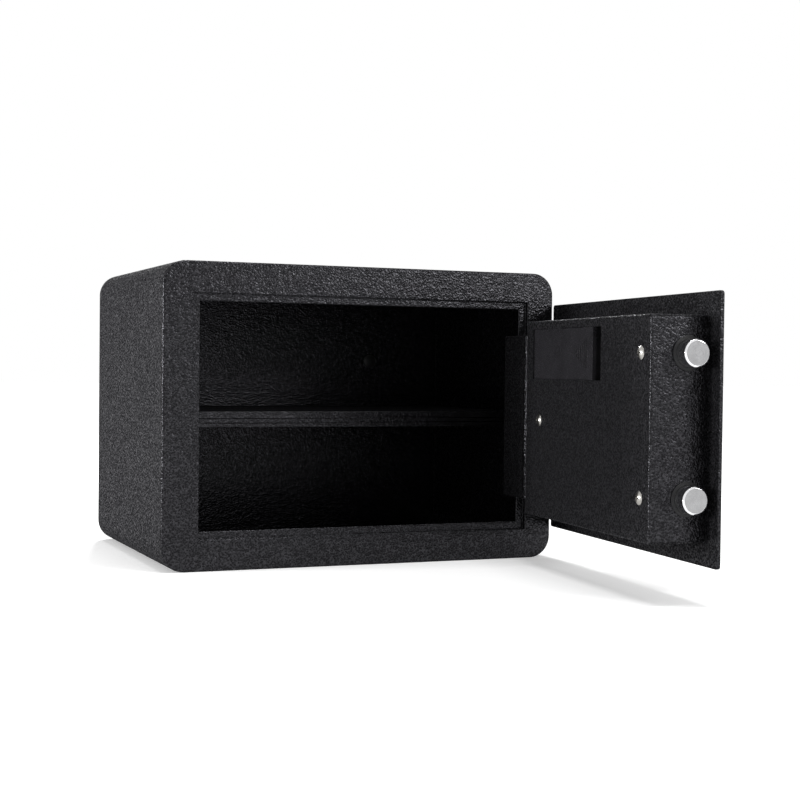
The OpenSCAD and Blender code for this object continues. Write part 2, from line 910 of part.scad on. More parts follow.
module circuit_board() {
    color([0.1, 0.3, 0.18])
        on_door() {
            between(board_y, board_y + board_t)
                translate([knob_x, knob_z])
                    circle(keypad_r - base_wall - 0.5);
            // processor, sounder and connector on the back
            translate([knob_x + chip_dx, 0, knob_z + chip_dz])
                between(board_y + board_t, board_y + board_t + chip_t)
                    square(chip_w, center = true);
            rod(knob_x - sounder_dx, knob_z + sounder_dz, board_y + board_t,
                board_y + board_t + sounder_h, sounder_d);
        }
}

module indicator_lights() {
    color([0.75, 0.75, 0.7])
        on_door()
            for (s = [-1, 1])
                rod(knob_x + light_x, knob_z + light_z + s * light_pitch / 2,
                    -keypad_h - 0.2, board_y, light_d);
}

module bridge_bracket() {
    color(zinc)
        on_door() {
            difference() {
                union() {
                    translate([knob_x, 0, knob_z + 5])
                        between(bridge_y0, bridge_y0 + bridge_t)
                            round_rect(2 * (bridge_reach + bridge_end), bridge_w, bridge_post_d / 2);
                    for (s = [-1, 1])
                        rod(knob_x + s * bridge_reach, knob_z + 6, door_t, bridge_y0 + bridge_t, bridge_post_d);
                }
                rod(knob_x, knob_z, bridge_y0 - 1, bridge_y0 + bridge_t + 1, 2 * (stem_r + fit));
            }
        }
}

module stem_nut() {
    color(zinc)
        on_door()
            difference() {
                translate([knob_x, 0, knob_z])
                    between(bridge_y0 + bridge_t, bridge_y0 + bridge_t + nut_t)
                        circle(r = stem_r + 4, $fn = 6);
                rod(knob_x, knob_z, bridge_y0, bridge_y0 + bridge_t + nut_t + 1, 2 * (stem_r + fit));
            }
}

// A quarter bend of a wire: comes in along +Y at the origin and leaves along
// +X after the turn q, where 0 is +X, 90 is +Z, 180 is -X and 270 is -Z
module wire_bend(r, q) {
    rotate([0, -q, 0])
        translate([r, 0, 0])
            rotate([0, 0, 90])
                rotate_extrude(angle = 90)
                    translate([r, 0])
                        circle(d = wire_d, $fn = 24);
}

module wire_run(x, deep, z, length, turn) {
    translate([x, front_y + deep, z])
        rotate(turn)
            cylinder(d = wire_d, h = length, $fn = 24);
}

module wire_harness() {
    back = board_y + board_t;
    out = stem_end + 1;
    deep = out + wire_r;
    color([0.5, 0.08, 0.06])
        on_door() {
            // battery leads: through the hollow stem and up to the tray
            wire_run(knob_x + 1.8, back, knob_z, out - back, [-90, 0, 0]);
            translate([knob_x + 1.8, front_y + out, knob_z])
                wire_bend(wire_r, 90);
            wire_run(knob_x + 1.8, deep, knob_z + wire_r, bay_z0 - tray_wall - knob_z - wire_r, [0, 0, 0]);
            // solenoid leads: down, across and forward to the coil
            wire_run(knob_x - 1.8, back, knob_z, out - back, [-90, 0, 0]);
            translate([knob_x - 1.8, front_y + out, knob_z])
                wire_bend(wire_r, 270);
            wire_run(knob_x - 1.8, deep, wire_z + wire_r, knob_z - wire_z - 2 * wire_r, [0, 0, 0]);
            translate([knob_x - 1.8, front_y + deep, wire_z + wire_r])
                rotate([-90, 0, 0])
                    wire_bend(wire_r, 0);
            wire_run(knob_x - 1.8 + wire_r, deep, wire_z, sol_x - knob_x + 1.8 - 2 * wire_r, [0, 90, 0]);
            translate([sol_x, front_y + out, wire_z])
                wire_bend(wire_r, 180);
            wire_run(sol_x, sol_y + coil_d / 2 + loose, wire_z, out - sol_y - coil_d / 2 - loose, [-90, 0, 0]);
        }
}

module solenoid_frame() {
    y0 = door_t;
    y1 = sol_y + coil_d / 2 + 0.4;
    color(zinc)
        on_door()
            difference() {
                union() {
                    translate([sol_x - sol_w / 2, front_y + y0, sol_low])
                        cube([sol_w, y1 - y0, sol_t]);
                    translate([sol_x - sol_w / 2, front_y + y0, sol_top - sol_t])
                        cube([sol_w, y1 - y0, sol_t]);
                    translate([sol_x - sol_w / 2, front_y + y0, sol_low])
                        cube([sol_w, sol_t, sol_top - sol_low]);
                }
                translate([sol_x, front_y + sol_y, sol_low - 1])
                    cylinder(d = plunger_d + 0.8, h = sol_top - sol_low + 2);
            }
}

module solenoid_coil() {
    color([0.55, 0.3, 0.12])
        on_door()
            translate([sol_x, front_y + sol_y, sol_low + sol_t])
                difference() {
                    cylinder(d = coil_d, h = sol_top - sol_low - 2 * sol_t);
                    translate([0, 0, -1])
                        cylinder(d = plunger_d + 2 * fit, h = sol_top - sol_low);
                }
}

module solenoid_plunger() {
    color(zinc)
        on_door() {
            translate([sol_x, front_y + sol_y, sol_low + 10])
                cylinder(d = plunger_d, h = plunger_top - sol_low - 10);
            // tab that the key lock's cam pushes down
            translate([sol_x - tab_w / 2, front_y + sol_y, plunger_top - 2 - tab_t])
                cube([tab_w, cam_arm_y + cam_arm_t + 1 - sol_y, tab_t]);
            translate([sol_x - tab_w / 2, front_y + cam_arm_y - 1, plunger_top - 2 - tab_t])
                cube([15, cam_arm_t + 2, tab_t]);
        }
}

// Coil spring under the plunger: a tube swept along a helix
function helix(t, r, h, turns) = [r * cos(360 * turns * t), r * sin(360 * turns * t), h * t];

module spring(r, wire_r, h, turns) {
    n = turns * 12;
    sides = 6;
    rings = [for (i = [0:n])
        let (c = helix(i / n, r, h, turns), a = 360 * turns * i / n)
        for (k = [0:sides - 1])
            let (b = 360 * k / sides)
            [c[0] + wire_r * cos(b) * cos(a), c[1] + wire_r * cos(b) * sin(a), c[2] + wire_r * sin(b)]];
    quads = [for (i = [0:n - 1], k = [0:sides - 1])
        let (k2 = (k + 1) % sides)
        [i * sides + k, i * sides + k2, (i + 1) * sides + k2, (i + 1) * sides + k]];
    tris = [for (q = quads) each [[q[0], q[3], q[2]], [q[0], q[2], q[1]]]];
    first = [for (k = [0:sides - 1]) k];
    last = [for (k = [0:sides - 1]) n * sides + sides - 1 - k];
    polyhedron(rings, concat(tris, [first], [last]));
}

spring_wire = 0.5;
spring_low = sol_low + sol_t + 0.2;
spring_h = 10 - sol_t - 0.4 - 2 * spring_wire;

module plunger_spring() {
    color(zinc)
        on_door()
            translate([sol_x, front_y + sol_y, spring_low + spring_wire])
                spring(2.4, spring_wire, spring_h, 4);
}

// Key lock under the oval cover
module lock_barrel() {
    color(chrome)
        on_door()
            difference() {
                union() {
                    rod(lock_x, lock_z, -lock_face_t, lock_len, lock_d);
                    rod(lock_x, lock_z, -lock_face_t, 0, lock_d + 3);
                }
                rod(lock_x, lock_z, -lock_face_t - 1, lock_len + 1, plug_d + 2 * fit);
            }
}

module lock_nut() {
    color(zinc)
        on_door()
            difference() {
                translate([lock_x, 0, lock_z])
                    between(door_t, door_t + 3.5)
                        circle(d = lock_d + 7, $fn = 6);
                rod(lock_x, lock_z, door_t - 1, door_t + 5, lock_d + 2 * fit);
            }
}

module lock_plug() {
    color(brass)
        on_door()
            difference() {
                union() {
                    rod(lock_x, lock_z, -lock_face_t - 0.4, lock_len + 0.2, plug_d);
                    rod(lock_x, lock_z, lock_len, cam_arm_y + cam_arm_t + 3, 7);
                }
                // keyway
                translate([lock_x - 0.7, front_y - lock_face_t - 2, lock_z - keyway_h / 2])
                    cube([1.4, keyway_len, keyway_h]);
                translate([lock_x - 1.3, front_y - lock_face_t - 2, lock_z + 1])
                    cube([1.2, keyway_len, 1.6]);
            }
}

module lock_cam() {
    color(zinc)
        on_door()
            translate([lock_x, 0, lock_z])
                difference() {
                    between(cam_arm_y, cam_arm_y + cam_arm_t)
                        rotate(180 - cam_arm_rest)
                            difference() {
                                union() {
                                    circle(d = 15);
                                    translate([cam_arm_len / 2 - cam_arm_w / 4, 0])
                                        slot(cam_arm_len + cam_arm_w / 2, cam_arm_w);
                                }
                                circle(d = 7 + 2 * fit);
                            }
                }
}

module key_cover() {
    color([0.9, 0.88, 0.83])
        on_door() {
            translate([lock_x, 0, lock_z])
                difference() {
                    union() {
                        between(-oval_depth + 1, -loose)
                            slot(oval_w, oval_h);
                        between(-oval_depth, -loose)
                            slot(oval_w - 2, oval_h - 2);
                        oval_edge();
                    }
                    between(-oval_depth + oval_wall, 1)
                        slot(oval_w - 2 * oval_wall, oval_h - 2 * oval_wall);
                }
            for (s = [-1, 1])
                rod(lock_x + s * peg_dx, lock_z, -oval_depth + 1, door_t, peg_d);
        }
}

// The rounded rim of the oval cover
module oval_edge() {
    r = oval_h / 2;
    for (s = [-1, 1]) {
        translate([s * (oval_w - oval_h) / 2, front_y - oval_depth + 1, 0])
            rotate([90, 0, 0])
                rotate([0, 0, s > 0 ? -90 : 90])
                    rotate_extrude(angle = 180)
                        translate([r - 1, 0])
                            edge_half(1);
        translate([-(oval_w - oval_h) / 2, front_y - oval_depth + 1, s * (r - 1)])
            rotate([0, 90, 0])
                cylinder(r = 1, h = oval_w - oval_h);
    }
}

// Keys
module key(i) {
    color([0.05, 0.05, 0.055])
        on_door()
            translate([key_x(i), 0, key_z(i)]) {
                between(-keypad_h - key_proud, -keypad_h + face_t + 0.6)
                    slot(key_w, key_h);
                between(-keypad_h + face_t + 0.1, board_y - key_travel - 0.1)
                    slot(key_w + 2 * key_rim, key_h + 2 * key_rim);
            }
}

// Battery bay
module battery_tray() {
    x0 = lid_end_x + 12;
    color(black_plastic)
        on_door()
            difference() {
                union() {
                    between(tray_back, cover_in)
                        rect(bay_x0 - tray_wall, bay_z0 - tray_wall, bay_x1 + tray_wall, bay_z1 + tray_wall);
                }
                // room for the cells
                between(tray_back + tray_wall, cover_in + 1)
                    rect(x0, bay_z0 + 1, bay_x1 + 0.2, bay_z1 - 1);
                // room for the lid and for a finger
                between(lid_y1 - lid_t - 0.4, cover_in + 1)
                    rect(lid_end_x - 1, bay_z0, bay_x1 + 0.2, bay_z1);
                between(cover_in - 8, cover_in + 1)
                    rect(bay_x0, bay_z0, lid_end_x + 2, bay_z1);
                // room for the lid's barrel, and holes for its pins
                between(lid_pivot_y - lid_barrel_r - loose, cover_in + 1)
                    rect(lid_pivot_x - lid_barrel_r - 1, bay_z0, bay_x1 + 0.2, bay_z1);
                translate([lid_pivot_x, front_y + lid_pivot_y, bay_z0 - 1.5])
                    cylinder(r = lid_pin_r + fit, h = bay_h + 3, $fn = 24);
            }
}

module batteries() {
    color([0.16, 0.17, 0.2])
        on_door()
            for (row = [-1, 1], i = [0, 1])
                translate([cells_x0 + i * cell_len, front_y + tray_back + tray_wall + 0.2 + cell_d / 2,
                           bay_mid_z + row * (cell_d + cell_gap) / 2])
                    rotate([0, 90, 0]) {
                        translate([0, 0, row > 0 ? 0 : 1.4])
                            cylinder(d = cell_d, h = cell_len - 1.5);
                        translate([0, 0, row > 0 ? cell_len - 1.6 : 0])
                            cylinder(d = 5.5, h = 1.5);
                    }
}

module battery_contacts() {
    y0 = tray_back + tray_wall;
    color(zinc)
        on_door()
            for (x = [lid_end_x + 12, bay_x1 + 0.2 - 0.8]) {
                between(y0, y0 + cell_d - 1)
                    rect(x, bay_z0 + 4, x + 0.8, bay_z1 - 4);
            }
}

module battery_cover() {
    h0 = bay_z0 + 0.3;
    h1 = bay_z1 - 0.3;
    color([0.07, 0.07, 0.075])
        on_door() {
            between(lid_y1 - lid_t, lid_y1)
                rect(lid_end_x, h0, lid_pivot_x, h1);
            translate([lid_pivot_x, front_y + lid_pivot_y, h0])
                cylinder(r = lid_barrel_r, h = h1 - h0);
            translate([lid_pivot_x, front_y + lid_pivot_y, h0 - 1.2])
                cylinder(r = lid_pin_r, h = h1 - h0 + 2.4, $fn = 24);
            // raised grip strip
            between(lid_y1 - 0.5, lid_y1 + 1.6)
                rect(lid_end_x, h0, lid_end_x + 2.5, h1);
            between(lid_y1 - 0.5, lid_y1 + 1)
                rect(lid_end_x + 2, h0, lid_end_x + 11, h1);
            // grip lines that grow towards the strip
            for (i = [0:5]) {
                half = 11 - 1.75 * i;
                between(lid_y1 - 0.3, lid_y1 + 0.5)
                    rect(lid_end_x + 15 + 3.6 * i, bay_mid_z - half, lid_end_x + 16 + 3.6 * i, bay_mid_z + half);
            }
        }
}

body_wrap();
front_frame();
back_panel();
shelf_supports();
hinge_brackets();
hinge_pin();
shelf();
door_plate();
door_cover();
hinge_arm();
cover_brackets();
cover_screws();
bolt_bushes();
guide_posts();
guide_screws();
keypad_base();
keypad_face();
display_panel();
display_window();
circuit_board();
indicator_lights();
bridge_bracket();
stem_nut();
wire_harness();
battery_tray();
batteries();
battery_contacts();
solenoid_frame();
solenoid_coil();
plunger_spring();
lock_barrel();
lock_nut();
battery_cover();
knob_ring();
knob_drum();
drive_cam();
bolt_carrier();
locking_bolts();
bolt_screws();
solenoid_plunger();
lock_plug();
lock_cam();
key_cover();
for (i = [0:11])
    key(i);
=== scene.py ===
"""Electronic safe: finishes and fine pieces round the packed model.

Every length is in metres, in the frame of the packed model: the origin is the
centre of the underside, the front faces -Y and +Z is up. Pieces on the door
are drawn in the door's own frame, seen from outside with the door shut: +X to
the right, +Y into the safe and +Z up.
"""

import json
import math

import bmesh
import bpy
from bpy.props import FloatProperty, FloatVectorProperty, IntProperty, PointerProperty
from bpy.types import Operator, Panel, PropertyGroup
from mathutils import Matrix, Vector

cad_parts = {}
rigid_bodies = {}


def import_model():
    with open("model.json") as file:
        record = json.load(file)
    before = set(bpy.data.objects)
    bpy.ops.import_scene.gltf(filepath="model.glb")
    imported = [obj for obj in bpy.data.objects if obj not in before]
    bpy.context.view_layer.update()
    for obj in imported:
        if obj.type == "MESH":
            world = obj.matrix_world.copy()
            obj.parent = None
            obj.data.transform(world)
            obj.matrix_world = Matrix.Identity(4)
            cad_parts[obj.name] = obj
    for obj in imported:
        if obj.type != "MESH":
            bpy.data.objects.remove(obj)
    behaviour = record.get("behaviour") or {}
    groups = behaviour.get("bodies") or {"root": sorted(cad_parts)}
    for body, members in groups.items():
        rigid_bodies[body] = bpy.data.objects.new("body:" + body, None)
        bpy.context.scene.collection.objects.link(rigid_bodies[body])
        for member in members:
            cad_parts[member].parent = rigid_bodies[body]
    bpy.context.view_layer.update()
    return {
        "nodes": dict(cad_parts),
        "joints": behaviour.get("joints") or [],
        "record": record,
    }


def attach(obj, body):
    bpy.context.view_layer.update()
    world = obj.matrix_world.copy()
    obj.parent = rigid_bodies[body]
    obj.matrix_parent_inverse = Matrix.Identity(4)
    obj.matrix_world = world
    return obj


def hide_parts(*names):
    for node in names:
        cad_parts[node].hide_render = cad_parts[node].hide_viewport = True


bl_info = {
    "name": "Electronic safe",
    "version": (1, 0, 0),
    "blender": (4, 5, 0),
    "location": "View3D > Sidebar > Safe",
    "description": "Finishes and fine pieces for the packed safe",
    "category": "Object",
}

for leftover in list(bpy.data.objects):
    bpy.data.objects.remove(leftover)
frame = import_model()
nodes = frame["nodes"]
joints = {j["name"]: j for j in frame["joints"]}

MM = 0.001
KEY_SIGNS = {digit: digit for digit in "123456789"}
KEY_SIGNS.update({"star": "*", "0": "0", "hash": "#"})


# Places and sizes, read from the packed model


def joint_point(name):
    """The point on a joint's axis, in metres."""
    return Vector(joints[name]["pos_m"])


INWARD = Vector(joints["knob_turn"]["axis"])
DOOR_ANGLE = math.atan2(-INWARD.x, INWARD.y)


def door_place(point):
    """The door's own frame with its origin at a point."""
    return Matrix.Translation(point) @ Matrix.Rotation(DOOR_ANGLE, 4, "Z")


KNOB = door_place(joint_point("knob_turn"))


def points_in(node, place):
    """A node's points in a frame of its own."""
    inverse = place.inverted()
    return [inverse @ vertex.co for vertex in nodes[node].data.vertices]


def corners(node, place):
    """Lowest and highest corner of a node in a frame of its own."""
    points = points_in(node, place)
    lo = Vector(min(p[i] for p in points) for i in range(3))
    hi = Vector(max(p[i] for p in points) for i in range(3))
    return lo, hi


def radii(node, place):
    """Smallest and largest distance of a node's points from the frame's Y axis."""
    reach = [math.hypot(p.x, p.z) for p in points_in(node, place)]
    return min(reach), max(reach)


# Node trees


def add_node(material, kind, settings=None, inputs=None):
    """Adds a node to a material or world, sets it, and fills or links its inputs."""
    tree = material.node_tree
    made = tree.nodes.new(kind)
    for name, value in (settings or {}).items():
        setattr(made, name, value)
    for name, value in (inputs or {}).items():
        if isinstance(value, bpy.types.NodeSocket):
            tree.links.new(value, made.inputs[name])
        else:
            made.inputs[name].default_value = value
    return made


def new_finish(name, colour, metallic=0.0, roughness=0.5, **sockets):
    """A material with one Principled shader, its constants on its own sockets."""
    material = bpy.data.materials.new(name)
    material.use_nodes = True
    material.node_tree.nodes.clear()
    shader = add_node(material, "ShaderNodeBsdfPrincipled")
    shader.inputs["Base Color"].default_value = (*colour[:3], 1.0)
    shader.inputs["Metallic"].default_value = metallic
    shader.inputs["Roughness"].default_value = roughness
    for socket, value in sockets.items():
        shader.inputs[socket.replace("_", " ")].default_value = value
    output = add_node(material, "ShaderNodeOutputMaterial")
    material.node_tree.links.new(shader.outputs["BSDF"], output.inputs["Surface"])
    material.diffuse_color = (*colour[:3], 1.0)
    return material, shader


def object_place(material, scale=(1.0, 1.0, 1.0)):
    """Coordinates that stay on the piece, stretched along its axes."""
    where = add_node(material, "ShaderNodeTexCoord").outputs["Object"]
    inputs = {"Vector": where, "Scale": scale}
    return add_node(material, "ShaderNodeMapping", inputs=inputs).outputs["Vector"]


def lathe_place(material, along, around):
    """Coordinates of a turned piece: along its profile and round its axis."""
    where = add_node(material, "ShaderNodeTexCoord").outputs["UV"]
    inputs = {"Vector": where, "Scale": (along, around, 1.0)}
    return add_node(material, "ShaderNodeMapping", inputs=inputs).outputs["Vector"]


def noise(material, where, scale, detail=2.0, roughness=0.5):
    """Soft noise between 0 and 1."""
    inputs = {"Vector": where, "Scale": scale, "Detail": detail, "Roughness": roughness}
    return add_node(material, "ShaderNodeTexNoise", inputs=inputs).outputs["Fac"]


def remap(material, value, from_low, from_high, to_low, to_high):
    """Maps a value from one range to another and clamps it."""
    inputs = {
        "Value": value, "From Min": from_low, "From Max": from_high,
        "To Min": to_low, "To Max": to_high,
    }
    return add_node(material, "ShaderNodeMapRange", inputs=inputs).outputs["Result"]


def blend(material, amount, first, second):
    """Mixes two colours by an amount between 0 and 1."""
    inputs = {"Factor": amount, "A": (*first[:3], 1.0), "B": (*second[:3], 1.0)}
    made = add_node(material, "ShaderNodeMix", {"data_type": "RGBA"}, inputs)
    return made.outputs["Result"]


def maths(material, operation, first, second):
    """One operation on two values."""
    made = add_node(material, "ShaderNodeMath", {"operation": operation})
    for socket, value in zip(made.inputs, (first, second)):
        if isinstance(value, bpy.types.NodeSocket):
            material.node_tree.links.new(value, socket)
        else:
            socket.default_value = value
    return made.outputs["Value"]


def emboss(material, shader, height, distance):
    """Turns a height into relief on the shader's normal."""
    inputs = {"Height": height, "Distance": distance, "Strength": 1.0}
    bump = add_node(material, "ShaderNodeBump", inputs=inputs)
    material.node_tree.links.new(bump.outputs["Normal"], shader.inputs["Normal"])


def link(material, value, shader, socket):
    """Links a value to one of the shader's sockets."""
    material.node_tree.links.new(value, shader.inputs[socket])


def shade(colour, factor):
    """A colour made lighter or darker."""
    return tuple(min(1.0, c * factor) for c in colour[:3])


# Finishes. Noise gathers round one half, so only its middle part is stretched.

MIDDLE = (0.3, 0.7)
INNER_MIDDLE = (0.35, 0.65)


def vary_gloss(material, shader, value, smooth, rough, span=MIDDLE):
    """Lets a value carry the roughness from smooth to rough."""
    gloss = remap(material, value, *span, smooth, rough)
    link(material, gloss, shader, "Roughness")


def vary_colour(material, shader, value, colour, dark, light, span=INNER_MIDDLE):
    """Lets a value carry the colour from a darker to a lighter shade of it."""
    amount = remap(material, value, *span, 0.0, 1.0)
    tone = blend(material, amount, shade(colour, dark), shade(colour, light))
    link(material, tone, shader, "Base Color")
    return tone


def hammered_enamel(look):
    """Black hammered enamel with fine metal flake and a leathery grain.

    The colour and the edge reflection are darker in the grain's valleys and
    lighter on its crests and on the crests of the slow waves: painted shade in
    the valleys and a painted highlight on the crests. The valleys turn duller
    where the eye skims along the surface.
    """
    # Colour in the grain's valleys and on its crests: painted shade and painted
    # highlight
    valley_painted_shade, crest_painted_highlight = 0.6, 1.95
    crest_span, valley_span, skim_span = (0.8, 1.25), (0.95, 1.2), (0.4, 0.85)
    wave_height, gloss_spread = 1.2, 0.06
    edge = (look.edge, look.edge, look.edge)
    material, shader = new_finish(
        "hammered_enamel", look.colour, look.flake, look.roughness,
        Specular_IOR_Level=0.12, Specular_Tint=(*edge, 1.0),
    )
    where = object_place(material)
    dimples = add_node(
        material, "ShaderNodeTexVoronoi", {"feature": "SMOOTH_F1"},
        {"Vector": where, "Scale": 1.0 / look.grain, "Smoothness": 0.6},
    ).outputs["Distance"]
    fine = noise(material, where, 1.1 / look.grain, roughness=0.55)
    peel = noise(material, where, 1.0 / look.peel, detail=1.0)
    grain = maths(material, "ADD", dimples, fine)
    waves = maths(material, "MULTIPLY", peel, wave_height)
    emboss(material, shader, maths(material, "ADD", grain, waves), look.grain_depth)

    # Colour and edge reflection follow the relief: painted shade in the valleys,
    # painted highlight on the crests of the grain and of the slow waves
    crest = remap(material, grain, *crest_span, 0.0, 1.0)
    painted_wave_light = remap(material, peel, *MIDDLE, 0.6, 1.2)
    painted_relief_light = maths(material, "MULTIPLY", crest, painted_wave_light)
    for colour, low, high, socket in (
        (look.colour, valley_painted_shade, crest_painted_highlight, "Base Color"),
        (edge, look.edge_valley_painted_shade, look.edge_crest_painted_highlight, "Specular Tint"),
    ):
        tone = blend(material, painted_relief_light, shade(colour, low), shade(colour, high))
        link(material, tone, shader, socket)

    facing = add_node(
        material, "ShaderNodeLayerWeight", inputs={"Blend": 0.5}
    ).outputs["Facing"]
    skim = remap(material, facing, *skim_span, 0.0, look.skim)
    valley = remap(material, grain, *valley_span, 1.0, 0.6)
    smooth, rough = look.roughness - gloss_spread, look.roughness + gloss_spread
    gloss = remap(material, fine, *MIDDLE, smooth, rough)
    dull = maths(material, "MULTIPLY", skim, valley)
    link(material, maths(material, "ADD", gloss, dull), shader, "Roughness")
    return material


def drawn_metal(name, colour, roughness, streaks=(1.0, 1.0, 1.0)):
    """Plated or bare metal with fine drawn streaks, told apart by their stretch."""
    spread = 0.08
    material, shader = new_finish(name, colour, 1.0, roughness)
    lines = noise(material, object_place(material, streaks), 900.0, 4.0, 0.6)
    cloud = noise(material, object_place(material), 70.0, 3.0)
    vary_gloss(material, shader, lines, roughness - spread, roughness + spread)
    vary_colour(material, shader, cloud, colour, 0.86, 1.06)
    emboss(material, shader, lines, 0.01 * MM)
    return material


def turned_metal(name, colour, roughness, rings=2600.0, depth=0.000012):
    """Metal from the lathe: fine rings along the profile, none round the axis."""
    material, shader = new_finish(name, colour, 1.0, roughness)
    lines = noise(material, lathe_place(material, rings, 3.0), 1.0, 3.0, 0.6)
    wear = noise(material, object_place(material), 160.0, 3.0, 0.6)
    vary_gloss(material, shader, lines, roughness * 0.7, roughness * 1.35)
    vary_colour(material, shader, wear, colour, 0.9, 1.05)
    emboss(material, shader, lines, depth)
    return material


def moulded_plastic(
    name, colour, roughness, grain=0.0006, depth=0.000015, specular=0.5, cloud=0.15
):
    """Moulded plastic with a fine spark-eroded grain and faint flow marks."""
    spread = 0.06
    material, shader = new_finish(
        name, colour, roughness=roughness, Specular_IOR_Level=specular
    )
    where = object_place(material)
    pores = noise(material, where, 1.0 / grain, 3.0, 0.6)
    flow = noise(material, where, 60.0)
    emboss(material, shader, pores, depth)
    vary_gloss(material, shader, pores, roughness - spread, roughness + spread)
    vary_colour(material, shader, flow, colour, 1.0 - cloud, 1.0 + cloud)
    return material


def lit_display(colour, backlight_and_painted_glow):
    """The pale panel of a lit liquid-crystal display, a little uneven."""
    # The glow is partly the display's backlight and partly painted light that stands in
    # for the light the glass window keeps off the panel
    material, shader = new_finish(
        "lit_display", colour, roughness=0.35, Emission_Strength=backlight_and_painted_glow
    )
    uneven = noise(material, object_place(material), 60.0)
    tone = vary_colour(material, shader, uneven, colour, 0.92, 1.05, MIDDLE)
    link(material, tone, shader, "Emission Color")
    return material


def clear_glass():
    """A clear, slightly scuffed window."""
    material, shader = new_finish(
        "clear_glass", (1.0, 1.0, 1.0), roughness=0.03, IOR=1.46,
        Transmission_Weight=1.0,
    )
    scuffs = noise(material, object_place(material, (1.0, 1.0, 4.0)), 260.0, 4.0, 0.7)
    vary_gloss(material, shader, scuffs, 0.02, 0.12, (0.4, 0.75))
    return material


def wound_copper(colour):
    """Enamelled wire wound in close turns under a clear tape."""
    material, shader = new_finish("wound_copper", colour, 0.6, 0.35)
    where = object_place(material, (0.02, 0.02, 1.0))
    turns = noise(material, where, 2200.0, 1.0, 0.4)
    emboss(material, shader, turns, 0.05 * MM)
    vary_colour(material, shader, turns, colour, 0.6, 1.3)
    return material


def board_lacquer(colour):
    """A circuit board's lacquer with its tracks showing through."""
    material, shader = new_finish("board_lacquer", colour, roughness=0.3)
    inputs = {"Vector": object_place(material), "Scale": 260.0, "Mortar Size": 0.06}
    tracks = add_node(material, "ShaderNodeTexBrick", inputs=inputs).outputs["Fac"]
    tone = blend(material, tracks, shade(colour, 0.8), shade(colour, 1.9))
    link(material, tone, shader, "Base Color")
    emboss(material, shader, tracks, 0.02 * MM)
    return material


# Pieces in mesh code

TOUCHING = 1e-7  # metres between points that count as one
FIGURE_SHARE = 0.72  # of a font's size that its figures stand tall


def keep_piece(mesh_data, name, body, materials, place, sharp_deg=32.0):
    """Makes a named object of a bmesh drawn in a place, and rides it on a body."""
    mesh_data.transform(place)
    bmesh.ops.recalc_face_normals(mesh_data, faces=mesh_data.faces)
    limit = math.radians(sharp_deg)
    for face in mesh_data.faces:
        face.smooth = True
    for edge in mesh_data.edges:
        edge.smooth = not (
            len(edge.link_faces) != 2 or edge.calc_face_angle(0.0) > limit
        )
    mesh = bpy.data.meshes.new(name)
    mesh_data.to_mesh(mesh)
    mesh_data.free()
    for material in materials:
        mesh.materials.append(material)
    piece = bpy.data.objects.new(name, mesh)
    bpy.context.scene.collection.objects.link(piece)
    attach(piece, body)
    return piece


def turn_profile(
    mesh_data, profile, centre=(0.0, 0.0, 0.0), sides=96, finish=None, flutes=None,
    axis="Y",
):
    """Turns a closed profile of (radius, depth) points round an axis.

    finish gives a material number for each edge of the profile. flutes is
    (count, depth, first, last) and cuts that many scallops into the points of
    the profile with those numbers. Points on the axis become one point.
    """
    uv_layer = mesh_data.loops.layers.uv.verify()
    centre = Vector(centre)
    rings = []
    for number, (radius, depth) in enumerate(profile):
        if radius < TOUCHING:
            spots = [(0.0, 0.0)]
        else:
            spots = []
            for step in range(sides):
                angle = 2.0 * math.pi * step / sides
                reach = radius
                if flutes and flutes[2] <= number <= flutes[3]:
                    reach -= flutes[1] * (0.5 - 0.5 * math.cos(flutes[0] * angle))
                spots.append((reach * math.cos(angle), reach * math.sin(angle)))
        ring = []
        for across, up in spots:
            offset = (across, depth, up) if axis == "Y" else (depth, across, up)
            ring.append(mesh_data.verts.new(centre + Vector(offset)))
        rings.append(ring)
    lengths = [0.0]
    for (r0, d0), (r1, d1) in zip(profile, profile[1:] + profile[:1]):
        lengths.append(lengths[-1] + math.hypot(r1 - r0, d1 - d0))
    count = len(profile)
    for number in range(count):
        here, there = rings[number], rings[(number + 1) % count]
        if len(here) == 1 and len(there) == 1:
            continue
        for step in range(sides):
            after = (step + 1) % sides
            if len(here) == 1:
                spots = [here[0], there[after], there[step]]
                marks = [(0, step), (1, step + 1), (1, step)]
            elif len(there) == 1:
                spots = [here[step], here[after], there[0]]
                marks = [(0, step), (0, step + 1), (1, step)]
            else:
                spots = [here[step], here[after], there[after], there[step]]
                marks = [(0, step), (0, step + 1), (1, step + 1), (1, step)]
            face = mesh_data.faces.new(spots)
            face.material_index = finish[number] if finish else 0
            for loop, (end, turn) in zip(face.loops, marks):
                loop[uv_layer].uv = (lengths[number + end], turn / sides)


def arc(centre_r, centre_d, radius, start_deg, end_deg, steps):
    """Points of a rounding between two angles, 0 outwards and 90 deeper."""
    points = []
    for step in range(steps + 1):
        angle = math.radians(start_deg + (end_deg - start_deg) * step / steps)
        points.append(
            (centre_r + radius * math.cos(angle), centre_d + radius * math.sin(angle))
        )
    return points


def pill(width, height, steps=12):
    """Outline of a key: a slot with round ends, as (x, z) points."""
    radius = height / 2
    reach = (width - height) / 2
    points = []
    for side, start in ((1, -90), (-1, 90)):
        for step in range(steps + 1):
            angle = math.radians(start + 180 * step / steps)
            points.append(
                (side * reach + radius * math.cos(angle), radius * math.sin(angle))
            )
    return points


def loft(mesh_data, rings, centre=(0.0, 0.0, 0.0)):
    """Joins equal outlines, each (points, depth), and closes both ends."""
    centre = Vector(centre)
    made = [
        [mesh_data.verts.new(centre + Vector((x, depth, z))) for x, z in points]
        for points, depth in rings
    ]
    for here, there in zip(made, made[1:]):
        for step in range(len(here)):
            after = (step + 1) % len(here)
            mesh_data.faces.new([here[step], here[after], there[after], there[step]])
    mesh_data.faces.new(made[0])
    mesh_data.faces.new(made[-1])


def slab(mesh_data, outline, low, high):
    """A flat piece: an outline of (x, z) points between two depths."""
    loft(mesh_data, [(outline, low), (outline, high)])


